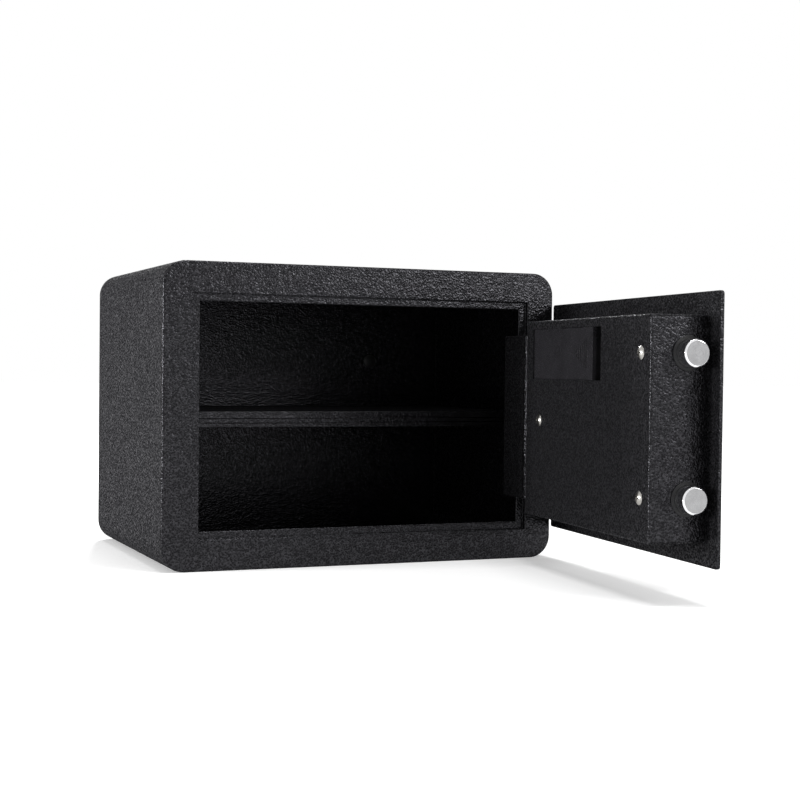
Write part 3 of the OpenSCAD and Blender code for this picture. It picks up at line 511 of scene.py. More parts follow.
def letters(text, height, name):
    """The outline of plain figures as a flat mesh, centred, in the X-Z plane."""
    curve = bpy.data.curves.new(name, "FONT")
    curve.body = text
    curve.size = height / FIGURE_SHARE
    curve.align_x = curve.align_y = "CENTER"
    curve.resolution_u = 6
    curve.extrude = 0.02 * MM
    holder = bpy.data.objects.new(name, curve)
    bpy.context.scene.collection.objects.link(holder)
    bpy.context.view_layer.update()
    graph = bpy.context.evaluated_depsgraph_get()
    flat = bpy.data.meshes.new_from_object(holder.evaluated_get(graph))
    bpy.data.objects.remove(holder)
    shape = bmesh.new()
    shape.from_mesh(flat)
    bpy.data.meshes.remove(flat)
    bmesh.ops.remove_doubles(shape, verts=shape.verts, dist=TOUCHING)
    shape.transform(Matrix.Rotation(math.radians(90), 4, "X"))
    across, up = ([v.co[i] for v in shape.verts] for i in (0, 2))
    middle = Vector(
        (-(min(across) + max(across)) / 2, 0.0, -(min(up) + max(up)) / 2)
    )
    shape.transform(Matrix.Translation(middle))
    return shape


def weld_bead(mesh_data, start, end, radius):
    """A run of weld from start to end: a tube of overlapping ripples."""
    ripple, run_in, end_share, sides = 0.0012, 6.0, 0.25, 10
    start, end = Vector(start), Vector(end)
    along = end - start
    length = along.length
    along.normalize()
    side = along.orthogonal().normalized()
    other = along.cross(side)
    rounds = max(8, int(length / (ripple / 4)))
    rings = []
    for step in range(rounds + 1):
        t = step / rounds
        taper = end_share
        if 0 < step < rounds:
            taper = min(1.0, run_in * t, run_in * (1.0 - t)) ** 0.5
        wave = 1.0 + 0.1 * abs(math.sin(math.pi * t * length / ripple))
        middle = start + along * (length * t)
        ring = []
        for k in range(sides):
            a = 2 * math.pi * k / sides
            way = side * math.cos(a) + other * math.sin(a)
            ring.append(mesh_data.verts.new(middle + way * radius * wave * taper))
        rings.append(ring)
    for here, there in zip(rings, rings[1:]):
        for k in range(sides):
            after = (k + 1) % sides
            mesh_data.faces.new([here[k], here[after], there[after], there[k]])
    mesh_data.faces.new(rings[0])
    mesh_data.faces.new(rings[-1])


def dress(names, material):
    """Gives packed nodes a finish."""
    for name in names:
        data = nodes[name].data
        data.materials.clear()
        data.materials.append(material)


def soften(names, width, segments=3):
    """Rounds the sharp edges of packed nodes as a press or mould leaves them."""
    for name in names:
        piece = nodes[name]
        weld = piece.modifiers.new("joined", "WELD")
        weld.merge_threshold = 0.001 * MM
        bevel = piece.modifiers.new("rounded", "BEVEL")
        bevel.width = width
        bevel.segments = segments
        bevel.limit_method = "ANGLE"
        bevel.angle_limit = math.radians(40.0)
        bevel.harden_normals = False
        bevel.use_clamp_overlap = True


# Settings


def colour_setting(name, description, default):
    """A colour that the user can change."""
    return FloatVectorProperty(
        name=name, description=description, default=default,
        subtype="COLOR", min=0.0, max=1.0,
    )


def length_setting(name, description, default, least, most, precision=4):
    """A length that the user can change."""
    return FloatProperty(
        name=name, description=description, default=default,
        unit="LENGTH", min=least, max=most, precision=precision,
    )


def share_setting(name, description, default, least=0.0, most=1.0):
    """A share that the user can change."""
    return FloatProperty(
        name=name, description=description, default=default,
        subtype="FACTOR", min=least, max=most,
    )


def power_setting(name, description, default):
    """A lamp's power that the user can change."""
    return FloatProperty(
        name=name, description=description, default=default,
        unit="POWER", min=0.0, max=200.0,
    )


class SafeEnamel(PropertyGroup):
    """The hammered enamel on all the pressed steel."""

    colour: colour_setting("Colour", "Colour of the enamel", (0.0225, 0.0223, 0.0243))
    grain: length_setting(
        "Grain", "Distance between two dimples of the grain", 0.00145, 0.0005, 0.004
    )
    peel: length_setting(
        "Orange peel", "Length of the slow waves under the grain", 0.0042, 0.001, 0.02
    )
    grain_depth: length_setting(
        "Grain depth", "Depth of the dimples", 0.00026, 0.0, 0.001, 5
    )
    roughness: share_setting(
        "Roughness", "Middle roughness of the enamel", 0.19, 0.12, 0.9
    )
    skim: share_setting(
        "Skimming dullness",
        "Roughness that the valleys gain where the eye skims along", 0.75, 0.0, 0.8,
    )
    flake: share_setting("Flake", "Share of the enamel that mirrors like metal", 0.82)
    edge: share_setting(
        "Edge reflection",
        "How much of a metal's usual mirroring is left at a low angle", 0.36,
    )
    # Painted shade: the grain's valleys keep less of the edge reflection
    edge_valley_painted_shade: share_setting(
        "Edge reflection, valleys",
        "Share of the edge reflection that the grain's valleys keep", 0.12,
    )
    # Painted highlight: the grain's crests reach more of the edge reflection
    edge_crest_painted_highlight: FloatProperty(
        name="Edge reflection, crests",
        description="Share of the edge reflection that the grain's crests reach",
        min=1.0, max=2.7, default=2.5,
    )


class SafeMetals(PropertyGroup):
    """Colours of the bare and plated metals."""

    zinc: colour_setting("Zinc", "Colour of the zinc-plated steel", (0.62, 0.62, 0.6))
    nickel: colour_setting(
        "Nickel", "Colour of the nickel-plated contacts and lock barrel",
        (0.72, 0.69, 0.63),
    )
    # The screws' colour is the nickel plating darkened: painted shade
    screw: colour_setting(
        "Screws", "Colour of the inner cover's screws", (0.36, 0.35, 0.33)
    )
    chrome: colour_setting(
        "Chrome", "Colour of the locking bolts", (0.82, 0.82, 0.83)
    )
    faced: colour_setting(
        "Faced end", "Colour of the locking bolts' faced ends", (0.32, 0.32, 0.325)
    )
    silver: colour_setting(
        "Silver", "Colour of the turning ring", (0.68, 0.685, 0.69)
    )
    brass: colour_setting(
        "Brass", "Colour of the key lock's plug", (0.72, 0.55, 0.26)
    )


class SafePlastics(PropertyGroup):
    """Colours of the mouldings and the display."""

    black: colour_setting(
        "Black", "Colour of the black mouldings", (0.009, 0.009, 0.01)
    )
    lid: colour_setting(
        "Battery cover", "Colour of the battery cover", (0.016, 0.0155, 0.0175)
    )
    fascia: colour_setting(
        "Fascia", "Colour of the keypad's face", (0.008, 0.008, 0.009)
    )
    rubber: colour_setting("Keys", "Colour of the keys", (0.006, 0.006, 0.0065))
    print_ink: colour_setting(
        "Print", "Colour of the figures on the keys", (0.82, 0.83, 0.84)
    )
    ivory: colour_setting("Ivory", "Colour of the oval cover", (0.79, 0.74, 0.635))
    display: colour_setting(
        "Display", "Colour of the lit display", (0.84, 0.92, 0.96)
    )
    # The glow is partly the display's backlight and partly painted light
    backlight_and_painted_glow: share_setting("Glow", "Light that the display gives off", 0.22, 0.0, 2.0)


class SafeForms(PropertyGroup):
    """Sizes of the fine forms that are added to the packed model."""

    bolt_chamfer: length_setting(
        "Bolt chamfer", "Chamfer at a locking bolt's end", 0.0009, 0.0002, 0.002
    )
    flutes: IntProperty(
        name="Grip flutes", description="Number of flutes round the knob's barrel",
        min=0, max=180, default=90,
    )
    flute_depth: length_setting(
        "Flute depth", "Depth of a flute in the knob's barrel", 0.0006, 0.0, 0.001
    )
    figure_height: length_setting(
        "Figure height", "Height of the figures on the keys", 0.0042, 0.002, 0.006
    )
    display_figure: length_setting(
        "Display figure", "Height of the figures on the display", 0.0072, 0.003, 0.01
    )
    press_round: length_setting(
        "Pressed edge", "Rounding of the folded sheets' edges", 0.0005, 0.0, 0.002
    )
    plate_round: length_setting(
        "Plate edge", "Rounding of the door plate's edges", 0.0006, 0.0, 0.001
    )
    mould_round: length_setting(
        "Moulded edge", "Rounding of the mouldings' edges", 0.00025, 0.0, 0.001
    )
    lid_round: length_setting(
        "Grip edge", "Rounding of the battery cover's grip lines",
        0.00044, 0.0, 0.0005, 5,
    )


class SafeStudio(PropertyGroup):
    """The floor, the light and the camera."""

    floor: colour_setting("Floor", "Colour of the floor", (0.86, 0.86, 0.86))
    ambient: FloatProperty(
        name="Ambient", description="Strength of the light from all round",
        min=0.0, max=2.0, default=0.5,
    )
    key_power: power_setting(
        "Key light", "Power of the main light, at the left", 26.0
    )
    top_power: power_setting("Top light", "Power of the light overhead", 14.0)
    fill_power: power_setting("Fill light", "Power of the light at the right", 9.0)
    side_power: power_setting(
        "Side light", "Power of the small light at the left and behind", 3.0
    )
    rim_power: power_setting(
        "Rim light", "Power of the light behind that lines the upper edges", 30.0
    )
    lens: FloatProperty(
        name="Lens", description="Focal length for a 36 mm wide sensor",
        min=10.0, max=300.0, default=66.895,
    )


# Operators


class SAFE_OT_cabinet(Operator):
    """Paints the cabinet and softens the edges of its doorway"""

    bl_idname = "safe.cabinet"
    bl_label = "Cabinet"

    def execute(self, context):
        scene = context.scene
        enamel = hammered_enamel(scene.safe_enamel)
        dress(
            [
                "body_wrap", "front_frame", "back_panel", "shelf_supports",
                "hinge_brackets",
            ],
            enamel,
        )
        soften(["front_frame"], scene.safe_forms.press_round)
        soften(["shelf_supports", "hinge_brackets"], scene.safe_forms.press_round / 2)
        return {"FINISHED"}


class SAFE_OT_shelf(Operator):
    """Paints the shelf and rounds its fold"""

    bl_idname = "safe.shelf"
    bl_label = "Shelf"

    def execute(self, context):
        dress(["shelf"], bpy.data.materials["hammered_enamel"])
        soften(["shelf"], context.scene.safe_forms.press_round)
        return {"FINISHED"}


class SAFE_OT_hinge(Operator):
    """Paints the hinge arm, plates its pin and adds the weld runs of its foot"""

    bl_idname = "safe.hinge"
    bl_label = "Hinge"

    def execute(self, context):
        scene = context.scene
        enamel = bpy.data.materials["hammered_enamel"]
        dress(["hinge_arm"], enamel)
        soften(["hinge_arm"], scene.safe_forms.press_round)
        zinc = drawn_metal(
            "zinc_plate", scene.safe_metals.zinc, 0.36, streaks=(1.0, 1.0, 0.06)
        )
        dress(["hinge_pin"], zinc)
        place = door_place(joint_point("door_hinge"))
        lo, hi = corners("hinge_arm", place)
        _, plate = corners("door_plate", place)
        foot_x = foot_edge(place, plate.y)
        half_run, bead, lift = 0.011, 0.0016, 0.0006
        runs = bmesh.new()
        for share in (0.14, 0.5, 0.86):
            z = lo.z + (hi.z - lo.z) * share
            ends = [(foot_x, plate.y + lift, z + s * half_run) for s in (-1, 1)]
            weld_bead(runs, *ends, bead)
        keep_piece(runs, "arm_weld_runs", "door", [enamel], place)
        return {"FINISHED"}


def foot_edge(place, plate_back):
    """Where the hinge arm's foot ends on the door plate, towards the hinge."""
    foot = plate_back + 0.5 * MM
    return max(p.x for p in points_in("hinge_arm", place) if p.y < foot)


class SAFE_OT_door(Operator):
    """Paints the door plate and the inner cover, and plates the cover's screws"""

    bl_idname = "safe.door"
    bl_label = "Door"

    def execute(self, context):
        scene = context.scene
        metals = scene.safe_metals
        dress(["door_plate", "door_cover"], bpy.data.materials["hammered_enamel"])
        drawn_metal("nickel_plate", metals.nickel, 0.24)
        # A darkened copy of the nickel plating on the screws: painted shade
        dress(["cover_screws"], drawn_metal("shaded_screw_nickel", metals.screw, 0.27))
        dress(["cover_brackets"], bpy.data.materials["zinc_plate"])
        soften(["cover_screws"], 0.12 * MM)
        soften(["door_plate"], scene.safe_forms.plate_round)
        return {"FINISHED"}


class SAFE_OT_bolts(Operator):
    """Turns the two chromed locking bolts and dresses their bushes and carrier"""

    bl_idname = "safe.bolts"
    bl_label = "Locking bolts"

    def execute(self, context):
        scene = context.scene
        metals, forms = scene.safe_metals, scene.safe_forms
        side = turned_metal(
            "chromed_side", metals.chrome, 0.1, rings=1800.0, depth=0.000004
        )
        face = turned_metal(
            "faced_end", metals.faced, 0.3, rings=5200.0, depth=0.00001
        )
        lo, hi = corners("locking_bolts", KNOB)
        radius = (hi.y - lo.y) / 2
        middle_y = (lo.y + hi.y) / 2
        length = hi.x - lo.x
        chamfer, inner_round, outer_round = forms.bolt_chamfer, 0.0003, 0.0004
        rim = radius - outer_round
        profile = [(0.0, 0.0), (rim - chamfer, 0.0)]
        profile += arc(rim - chamfer, inner_round, inner_round, -90, -45, 3)
        profile += arc(rim, chamfer + outer_round - inner_round, outer_round, -45, 0, 3)
        profile += [(radius, length - outer_round), (rim, length), (0.0, length)]
        finish = [1] + [0] * (len(profile) - 1)
        rods = bmesh.new()
        for z in (lo.z + radius, hi.z - radius):
            turn_profile(
                rods, profile, (lo.x, middle_y, z), finish=finish, axis="X"
            )
        piece = keep_piece(rods, "turned_bolts", "bolts", [side, face], KNOB)
        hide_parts("locking_bolts")
        black = moulded_plastic(
            "black_moulding", scene.safe_plastics.black, 0.38, specular=0.3
        )
        dress(["bolt_bushes"], black)
        soften(["bolt_bushes"], forms.mould_round)
        dress(["bolt_carrier", "bolt_screws"], bpy.data.materials["zinc_plate"])
        return {"FINISHED"}


class SAFE_OT_hole_plugs(Operator):
    """Moulds the push-in plugs of the fixing holes"""

    bl_idname = "safe.hole_plugs"
    bl_label = "Fixing hole plugs"

    def execute(self, context):
        black = bpy.data.materials["black_moulding"]
        lo, hi = corners("back_panel", Matrix.Identity(4))
        mounts = {mount["name"]: mount for mount in frame["record"]["mounts"]}
        for name, tilt_deg in (("wall_bolts", 0.0), ("floor_bolts", -90.0)):
            holes = mounts[name]
            radius = holes["dims"]["hole_r_mm"] * MM
            reach = holes["dims"]["spacing_x_mm"] * MM / 2
            place = Matrix.Translation(Vector(holes["pos_m"]))
            place @= Matrix.Rotation(math.radians(tilt_deg), 4, "X")
            profile = plug_profile(radius, hi.y - lo.y)
            plugs = bmesh.new()
            for side in (-reach, reach):
                turn_profile(plugs, profile, (side, 0.0, 0.0), 48)
            piece = keep_piece(plugs, name + "_plugs", "cabinet", [black], place)
        return {"FINISHED"}


def plug_profile(hole, sheet):
    """A plug with a low domed head inside the safe and a hollow stem in the hole."""
    play, overlap, gap, lip = 0.0001, 0.0016, 0.00002, 0.0004
    stem, head, inner = hole - play, hole + overlap, -sheet - gap
    cup = -4 * lip
    return [
        (0.0, inner - 3.2 * lip), (0.5 * head, inner - 3 * lip),
        (head - 2 * lip, inner - 2.3 * lip), (head - 0.5 * lip, inner - 1.4 * lip),
        (head, inner - 0.6 * lip), (head, inner), (stem, inner),
        (stem, -1.6 * lip), (stem - lip, -lip), (stem - 3 * lip, -lip),
        (stem - 3.5 * lip, cup), (0.0, cup),
    ]


class SAFE_OT_knob(Operator):
    """Turns the silver ring and cuts the fluted barrel behind it"""

    bl_idname = "safe.knob"
    bl_label = "Turning ring"

    def execute(self, context):
        scene = context.scene
        forms = scene.safe_forms
        silver = turned_metal(
            "satin_silver", scene.safe_metals.silver, 0.3, rings=1500.0, depth=0.000006
        )
        inner, outer = radii("knob_ring", KNOB)
        lo, hi = corners("knob_ring", KNOB)
        bow = 0.0022
        profile = [(inner, hi.y), (inner, lo.y + bow)]
        profile += arc(inner + bow, lo.y + bow, bow, 180, 270, 8)
        profile += arc(outer - bow, lo.y + bow, bow, 270, 360, 8)
        groove_and_edge = [
            (0.0, 0.0034), (0.0003, 0.0031), (0.0003, 0.0027), (0.0, 0.0024),
            (0.0, 0.0005), (0.0005, 0.0),
        ]
        profile += [(outer - sunk, hi.y - ahead) for sunk, ahead in groove_and_edge]
        ring = bmesh.new()
        turn_profile(ring, profile, sides=160)
        piece = keep_piece(ring, "silver_ring", "knob", [silver], KNOB, 25.0)
        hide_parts("knob_ring")

        black = bpy.data.materials["black_moulding"]
        drum = bmesh.new()
        turn_profile(
            drum, drum_profile(inner),
            sides=forms.flutes * 6 if forms.flutes else 120,
            flutes=(forms.flutes, forms.flute_depth, 3, 4),
        )
        piece = keep_piece(drum, "fluted_barrel", "knob", [black], KNOB, 30.0)
        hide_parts("knob_drum")
        dress(["drive_cam"], bpy.data.materials["zinc_plate"])
        return {"FINISHED"}


def drum_profile(cup):
    """The barrel behind the ring, with its cup and its bored hub."""
    lo, hi = corners("knob_drum", KNOB)
    bore, wide = radii("knob_drum", KNOB)
    back, floor_t, edge, back_edge, plain = -0.0003, 0.0027, 0.0005, 0.0006, 0.0016
    hub = hub_radius()
    return [
        (cup, lo.y), (wide - edge, lo.y), (wide, lo.y + edge),
        (wide, lo.y + plain), (wide, back - plain),
        (wide, back - back_edge), (wide - back_edge, back),
        (hub, back), (hub, hi.y), (bore, hi.y),
        (bore, back - floor_t), (cup, back - floor_t),
    ]


def hub_radius():
    """Radius of the knob's hub where it passes through the door plate."""
    points = points_in("knob_drum", KNOB)
    return max(math.hypot(p.x, p.z) for p in points if p.y > 0.5 * MM)


class SAFE_OT_keypad(Operator):
    """Dresses the keypad: fascia, window, lit display with its figures, lights"""

    bl_idname = "safe.keypad"
    bl_label = "Keypad"

    def execute(self, context):
        scene = context.scene
        plastics, forms = scene.safe_plastics, scene.safe_forms
        fascia = moulded_plastic(
            "gloss_fascia", plastics.fascia, 0.2, grain=0.0009, depth=0.000006,
            specular=0.2,
        )
        dress(["keypad_face"], fascia)
        soften(["keypad_face"], forms.mould_round)
        dress(["keypad_base"], bpy.data.materials["black_moulding"])
        dress(["display_window"], clear_glass())
        dress(["display_panel"], lit_display(plastics.display, plastics.backlight_and_painted_glow))
        dress(["circuit_board"], board_lacquer((0.02, 0.12, 0.05)))
        lens = moulded_plastic(
            "light_lens", (0.62, 0.62, 0.58), 0.15, grain=0.001, depth=0.0
        )
        dress(["indicator_lights"], lens)
        soften(["indicator_lights"], 0.15 * MM)

        ink = moulded_plastic(
            "display_ink", (0.13, 0.19, 0.22), 0.5, grain=0.001, depth=0.0
        )
        lo, hi = corners("display_panel", KNOB)
        middle_x, middle_z = (lo.x + hi.x) / 2, (lo.z + hi.z) / 2
        figures_right, sign_left, sign_down = 3.5 * MM, 19.5 * MM, 1.2 * MM
        figures, pitch = "123456", 0.72 * forms.display_figure
        first = middle_x + figures_right - pitch * (len(figures) - 1) / 2
        signs = bmesh.new()
        for number, digit in enumerate(figures):
            x = first + number * pitch
            segment_digit(signs, digit, x, middle_z, forms.display_figure, lo.y)
        battery_sign(signs, middle_x - sign_left, middle_z - sign_down, lo.y)
        piece = keep_piece(signs, "display_figures", "door", [ink], KNOB)
        return {"FINISHED"}


SEGMENTS = {
    "1": "bc", "2": "abged", "3": "abgcd", "4": "fgbc", "5": "afgcd", "6": "afgedc",
}
INK_FRONT, INK_BACK = 0.00006, 0.00001  # of the printed signs, off the panel


def segment_digit(mesh_data, digit, x, z, tall, back):
    """One figure of seven slim bars on the display, leaning a little."""
    wide, thick, lean = tall * 0.46, tall * 0.1, 0.09
    half = tall / 2
    gap = thick * 0.3
    bars = {
        "a": ((-wide / 2, half), (wide / 2, half)),
        "b": ((wide / 2, half), (wide / 2, 0.0)),
        "c": ((wide / 2, 0.0), (wide / 2, -half)),
        "d": ((-wide / 2, -half), (wide / 2, -half)),
        "e": ((-wide / 2, 0.0), (-wide / 2, -half)),
        "f": ((-wide / 2, half), (-wide / 2, 0.0)),
        "g": ((-wide / 2, 0.0), (wide / 2, 0.0)),
    }
    for name in SEGMENTS[digit]:
        start, end = Vector(bars[name][0]), Vector(bars[name][1])
        along = (end - start).normalized()
        side = Vector((-along.y, along.x)) * thick / 2
        start += along * gap
        end -= along * gap
        tip = along * thick / 2
        outline = [start, start + tip + side, end - tip + side, end]
        outline += [end - tip - side, start + tip - side]
        points = [(x + p.x + lean * p.y, z + p.y) for p in outline]
        slab(mesh_data, points, back - INK_FRONT, back - INK_BACK)


def battery_sign(mesh_data, x, z, back):
    """A small battery sign with three bars."""
    wide, tall, line = 0.0052, 0.0028, 0.0004
    for x0, z0, x1, z1 in (
        (-wide / 2, -tall / 2, wide / 2, -tall / 2 + line),
        (-wide / 2, tall / 2 - line, wide / 2, tall / 2),
        (-wide / 2, -tall / 2 + line, -wide / 2 + line, tall / 2 - line),
        (wide / 2 - line, -tall / 2 + line, wide / 2, tall / 2 - line),
        (wide / 2, -tall / 5, wide / 2 + 0.0006, tall / 5),
        (-0.0019, -tall / 4, -0.0008, tall / 4),
        (-0.0005, -tall / 4, 0.0006, tall / 4),
        (0.0009, -tall / 4, 0.002, tall / 4),
    ):
        box = [(x + x0, z + z0), (x + x1, z + z0), (x + x1, z + z1), (x + x0, z + z1)]
        slab(mesh_data, box, back - INK_FRONT, back - INK_BACK)


class SAFE_OT_keys(Operator):
    """Moulds the twelve keys and prints their figures"""

    bl_idname = "safe.keys"
    bl_label = "Keys"

    def execute(self, context):
        scene = context.scene
        plastics, forms = scene.safe_plastics, scene.safe_forms
        rubber = moulded_plastic(
            "key_rubber", plastics.rubber, 0.34, grain=0.0005, depth=0.00001,
            specular=0.2,
        )
        ink = moulded_plastic(
            "key_print", plastics.print_ink, 0.5, grain=0.0004, depth=0.000004
        )
        shoulder, steps, print_lift = 0.0009, 6, 0.00003
        for name, sign in KEY_SIGNS.items():
            node = "key_" + name
            lo, hi = corners(node, KNOB)
            x, z = (lo.x + hi.x) / 2, (lo.z + hi.z) / 2
            rim_w, rim_h, cap_w, cap_h, rim_front = key_sizes(node, x, z)
            rings = [
                (pill(rim_w, rim_h), hi.y),
                (pill(rim_w, rim_h), rim_front),
                (pill(cap_w, cap_h), rim_front),
            ]
            for step in range(steps + 1):
                angle = math.radians(90 * step / steps)
                inset = shoulder * (1.0 - math.cos(angle))
                depth = lo.y + shoulder * (1.0 - math.sin(angle))
                rings.append((pill(cap_w - 2 * inset, cap_h - 2 * inset), depth))
            key = bmesh.new()
            loft(key, rings, (x, 0.0, z))
            piece = keep_piece(key, node + "_cap", node, [rubber], KNOB, 40.0)
            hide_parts(node)
            figure = letters(sign, forms.figure_height, node + "_figure")
            figure.transform(Matrix.Translation((x, lo.y - print_lift, z)))
            piece = keep_piece(figure, node + "_print", node, [ink], KNOB)
        return {"FINISHED"}


def key_sizes(node, x, z):
    """Width and height of a key's rim and of its cap, and the rim's front."""
    near, step = 0.2 * MM, 0.3 * MM
    points = points_in(node, KNOB)
    front = min(p.y for p in points)
    back = max(p.y for p in points)
    sizes = []
    for part in (
        [p for p in points if p.y > back - near],
        [p for p in points if p.y < front + near],
    ):
        sizes.append(2 * max(abs(p.x - x) for p in part))
        sizes.append(2 * max(abs(p.z - z) for p in part))
    past_cap = sizes[2] / 2 + step
    rim_front = min(p.y for p in points if abs(p.x - x) > past_cap)
    return (*sizes, rim_front)


class SAFE_OT_key_lock(Operator):
    """Dresses the key lock and its oval cover"""

    bl_idname = "safe.key_lock"
    bl_label = "Key lock"

    def execute(self, context):
        scene = context.scene
        ivory = moulded_plastic(
            "ivory_moulding", scene.safe_plastics.ivory, 0.24, grain=0.0012,
            depth=0.000004,
            cloud=0.012,
        )
        dress(["key_cover"], ivory)
        dress(["lock_barrel"], bpy.data.materials["nickel_plate"])
        dress(["lock_nut", "lock_cam"], bpy.data.materials["zinc_plate"])
        brass = drawn_metal(
            "machined_brass", scene.safe_metals.brass, 0.26, streaks=(1.0, 0.1, 1.0)
        )
        dress(["lock_plug"], brass)
        soften(["lock_barrel", "lock_plug"], 0.2 * MM)
        return {"FINISHED"}


class SAFE_OT_lock_works(Operator):
    """Dresses the pieces inside the door that work the bolts"""

    bl_idname = "safe.lock_works"
    bl_label = "Lock works"

    def execute(self, context):
        zinc = bpy.data.materials["zinc_plate"]
        dress(
            [
                "guide_posts", "guide_screws", "bridge_bracket", "stem_nut",
                "solenoid_frame", "solenoid_plunger", "plunger_spring",
            ],
            zinc,
        )
        dress(["solenoid_coil"], wound_copper((0.45, 0.19, 0.07)))
        sleeve = moulded_plastic(
            "wire_sleeve", (0.36, 0.03, 0.02), 0.4, grain=0.001, depth=0.000004
        )
        dress(["wire_harness"], sleeve)
        return {"FINISHED"}


class SAFE_OT_battery_bay(Operator):
    """Dresses the battery tray, its cover and its contacts, and makes the cells"""

    bl_idname = "safe.battery_bay"
    bl_label = "Battery bay"

    def execute(self, context):
        scene = context.scene
        forms = scene.safe_forms
        dress(["battery_tray"], bpy.data.materials["black_moulding"])
        satin = moulded_plastic(
            "lid_moulding", scene.safe_plastics.lid, 0.24, grain=0.0011, depth=0.000008
        )
        dress(["battery_cover"], satin)
        soften(["battery_cover"], forms.lid_round, segments=4)
        soften(["battery_tray"], forms.mould_round)
        dress(["battery_contacts"], bpy.data.materials["nickel_plate"])

        film = {"roughness": 0.28, "grain": 0.001, "depth": 0.000003}
        wrap = moulded_plastic("cell_wrap", (0.035, 0.04, 0.05), **film)
        band = moulded_plastic("cell_band", (0.62, 0.38, 0.1), **film)
        can = turned_metal("cell_can", scene.safe_metals.nickel, 0.25)
        wrap_on, band_on, bare = 0, 1, 2
        finish = [bare] * 2 + [wrap_on] * 2 + [band_on, wrap_on] + [bare] * 7
        cells = bmesh.new()
        for start, end, way, middle in cell_places():
            profile = [(r, way * d) for r, d in cell_profile(abs(end - start))]
            spot = (start, middle.y, middle.z)
            turn_profile(cells, profile, spot, 48, finish, axis="X")
        piece = keep_piece(cells, "wrapped_cells", "door", [wrap, band, can], KNOB)
        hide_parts("batteries")
        return {"FINISHED"}


def cell_profile(length):
    """An AA cell from its flat end to its button, as (radius, depth) points."""
    radius, tip, button = 0.00715, 0.00275, 0.0015
    span = length - button
    return [
        (0.0, 0.0), (radius - 0.0012, 0.0), (radius - 0.0004, 0.0003),
        (radius, 0.0009), (radius, span * 0.72), (radius, span * 0.95),
        (radius - 0.0005, span - 0.0002), (radius - 0.0016, span),
        (tip + 0.0006, span), (tip, span + 0.0003),
        (tip, span + 0.0013), (tip - 0.0003, span + button), (0.0, span + button),
    ]


def cell_places():
    """Start, end, direction and middle of each cell, in the door's own frame."""
    gap = 0.1 * MM
    lo, hi = corners("batteries", KNOB)
    points = points_in("batteries", KNOB)
    half = (lo.z + hi.z) / 2
    places = []
    for upper in (False, True):
        row = [p for p in points if (p.z > half) == upper]
        low, high = min(p.x for p in row), max(p.x for p in row)
        y, z = ((min(p[i] for p in row) + max(p[i] for p in row)) / 2 for i in (1, 2))
        length = (high - low - gap) / 2
        for start in (low, low + length + gap):
            ends = (start, start + length, 1)
            if not upper:
                ends = (start + length, start, -1)
            places.append((*ends, Vector((0, y, z))))
    return places


def aim(spot, target):
    """A rotation that points a lamp at a target."""
    return (Vector(target) - Vector(spot)).to_track_quat("-Z", "Y").to_euler()


def soft_light(name, spot, size, power, target):
    """A soft light of a width and a height, aimed at a target."""
    lamp = bpy.data.lights.new(name, "AREA")
    lamp.shape = "RECTANGLE"
    lamp.size, lamp.size_y = size
    lamp.energy = power
    holder = bpy.data.objects.new(name, lamp)
    holder.location = spot
    holder.rotation_euler = aim(spot, target)
    bpy.context.scene.collection.objects.link(holder)


class SAFE_OT_studio(Operator):
    """Lays the floor and sets the light and the camera"""

    bl_idname = "safe.studio"
    bl_label = "Studio"

    def execute(self, context):
        scene = context.scene
        studio = scene.safe_studio
        scene.view_settings.view_transform = "Standard"

        material, shader = new_finish("pale_floor", studio.floor, roughness=0.9)
        grain = noise(material, object_place(material), 3.0)
        vary_colour(material, shader, grain, studio.floor, 0.995, 1.005, MIDDLE)
        lift_for_camera(material, shader, near=0.25, far=0.62)
        reach = 12.0
        edge = ((-reach, -reach), (reach, -reach), (reach, reach), (-reach, reach))
        floor = bmesh.new()
        floor.faces.new([floor.verts.new((x, y, 0.0)) for x, y in edge])
        mesh = bpy.data.meshes.new("studio_floor")
        floor.to_mesh(mesh)
        floor.free()
        mesh.materials.append(material)
        holder = bpy.data.objects.new("studio_floor", mesh)
        scene.collection.objects.link(holder)

        white_surround(scene, studio.ambient)
        target = (0.03, -0.1, 0.12)
        for name, spot, size, power in (
            ("key_light", (-1.75, 0.1, 0.3), (0.2, 0.35), studio.key_power),
            ("side_light", (-1.4, 0.9, 0.3), (0.12, 0.12), studio.side_power),
            ("top_light", (0.0, -0.5, 1.6), (0.8, 0.25), studio.top_power),
            ("fill_light", (0.95, -1.6, 0.75), (0.4, 0.4), studio.fill_power),
            ("rim_light", (0.36, 1.7, 1.2), (0.3, 0.5), studio.rim_power),
        ):
            soft_light(name, spot, size, power, target)
        place_camera(scene, studio.lens)
        return {"FINISHED"}


def camera_rays(owner):
    """1 for rays from the camera, and for those that glossy or clear pieces send."""
    path = add_node(owner, "ShaderNodeLightPath")
    total = path.outputs["Is Camera Ray"]
    for name in ("Is Glossy Ray", "Is Transmission Ray"):
        total = maths(owner, "MAXIMUM", total, path.outputs[name])
    return total


def lift_for_camera(material, shader, near, far):
    """Lifts the floor towards white where it is seen, more so away from the safe."""
    reach = add_node(
        material, "ShaderNodeVectorMath", {"operation": "LENGTH"},
        {"Vector": object_place(material)},
    ).outputs["Value"]
    from_m, to_m = 0.5, 2.5
    strength = remap(material, reach, from_m, to_m, near, far)
    lift = maths(material, "MULTIPLY", camera_rays(material), strength)
    shader.inputs["Emission Color"].default_value = (1.0, 1.0, 1.0, 1.0)
    link(material, lift, shader, "Emission Strength")


def white_surround(scene, ambient):
    """A white surround for what is seen, and a softer one for what is lit."""
    world = bpy.data.worlds.new("white_surround")
    scene.world = world
    world.use_nodes = True
    world.node_tree.nodes.clear()
    strength = remap(world, camera_rays(world), 0.0, 1.0, ambient, 1.0)
    white = {"Color": (1.0, 1.0, 1.0, 1.0), "Strength": strength}
    light = add_node(world, "ShaderNodeBackground", inputs=white)
    surface = {"Surface": light.outputs["Background"]}
    add_node(world, "ShaderNodeOutputWorld", inputs=surface)


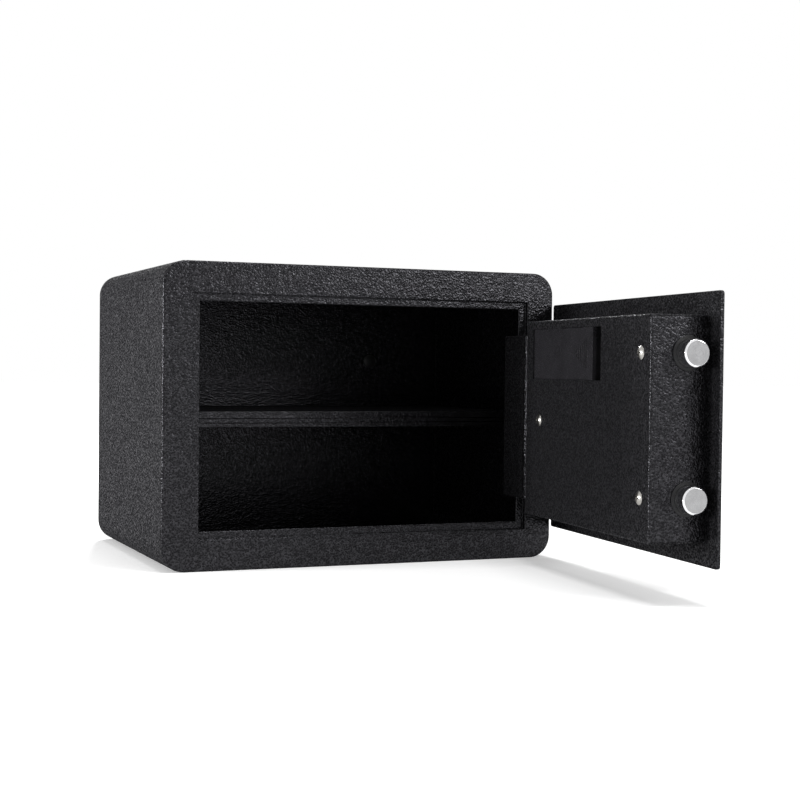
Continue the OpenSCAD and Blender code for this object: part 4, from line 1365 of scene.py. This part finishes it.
def place_camera(scene, lens):
    """The photograph's camera: place, heading, tilt and roll."""
    spot = Vector((-0.4593, -1.2846, 0.1660))
    heading, tilt, roll = 0.399, -0.0217, 0.0114
    forward = Vector((math.sin(heading), math.cos(heading), 0.0))
    right = Vector((math.cos(heading), -math.sin(heading), 0.0))
    up = Vector((0.0, 0.0, 1.0))
    ahead = forward * math.cos(tilt) + up * math.sin(tilt)
    above = up * math.cos(tilt) - forward * math.sin(tilt)
    across = right * math.cos(roll) + above * math.sin(roll)
    over = above * math.cos(roll) - right * math.sin(roll)
    rotation = Matrix((across, over, -ahead)).transposed().to_4x4()
    lens_data = bpy.data.cameras.new("photo_camera")
    lens_data.lens = lens
    lens_data.sensor_width = 36.0
    lens_data.clip_start = 0.01
    camera = bpy.data.objects.new("photo_camera", lens_data)
    camera.matrix_world = Matrix.Translation(spot) @ rotation
    scene.collection.objects.link(camera)
    scene.camera = camera


class SAFE_PT_pieces(Panel):
    """The safe's groups of pieces and their settings"""

    bl_idname = "SAFE_PT_pieces"
    bl_label = "Electronic safe"
    bl_space_type = "VIEW_3D"
    bl_region_type = "UI"
    bl_category = "Safe"

    def draw(self, context):
        layout = self.layout
        for operator in OPERATORS:
            layout.operator(operator.bl_idname)
        for name, group in SETTINGS.items():
            box = layout.box()
            box.label(text=group.__doc__)
            settings = getattr(context.scene, name)
            for prop in group.__annotations__:
                box.prop(settings, prop)


SETTINGS = {
    "safe_enamel": SafeEnamel,
    "safe_metals": SafeMetals,
    "safe_plastics": SafePlastics,
    "safe_forms": SafeForms,
    "safe_studio": SafeStudio,
}
OPERATORS = [
    SAFE_OT_cabinet,
    SAFE_OT_shelf,
    SAFE_OT_hinge,
    SAFE_OT_door,
    SAFE_OT_bolts,
    SAFE_OT_hole_plugs,
    SAFE_OT_knob,
    SAFE_OT_keypad,
    SAFE_OT_keys,
    SAFE_OT_key_lock,
    SAFE_OT_lock_works,
    SAFE_OT_battery_bay,
    SAFE_OT_studio,
]


def register():
    for group in SETTINGS.values():
        bpy.utils.register_class(group)
    for name, group in SETTINGS.items():
        setattr(bpy.types.Scene, name, PointerProperty(type=group))
    for operator in OPERATORS:
        bpy.utils.register_class(operator)
    bpy.utils.register_class(SAFE_PT_pieces)


def unregister():
    bpy.utils.unregister_class(SAFE_PT_pieces)
    for operator in reversed(OPERATORS):
        bpy.utils.unregister_class(operator)
    for name, group in SETTINGS.items():
        delattr(bpy.types.Scene, name)
        bpy.utils.unregister_class(group)


def main():
    register()
    bpy.ops.safe.cabinet()
    bpy.ops.safe.shelf()
    bpy.ops.safe.hinge()
    bpy.ops.safe.door()
    bpy.ops.safe.bolts()
    bpy.ops.safe.hole_plugs()
    bpy.ops.safe.knob()
    bpy.ops.safe.keypad()
    bpy.ops.safe.keys()
    bpy.ops.safe.key_lock()
    bpy.ops.safe.lock_works()
    bpy.ops.safe.battery_bay()
    bpy.ops.safe.studio()


if __name__ == "__main__":
    main()
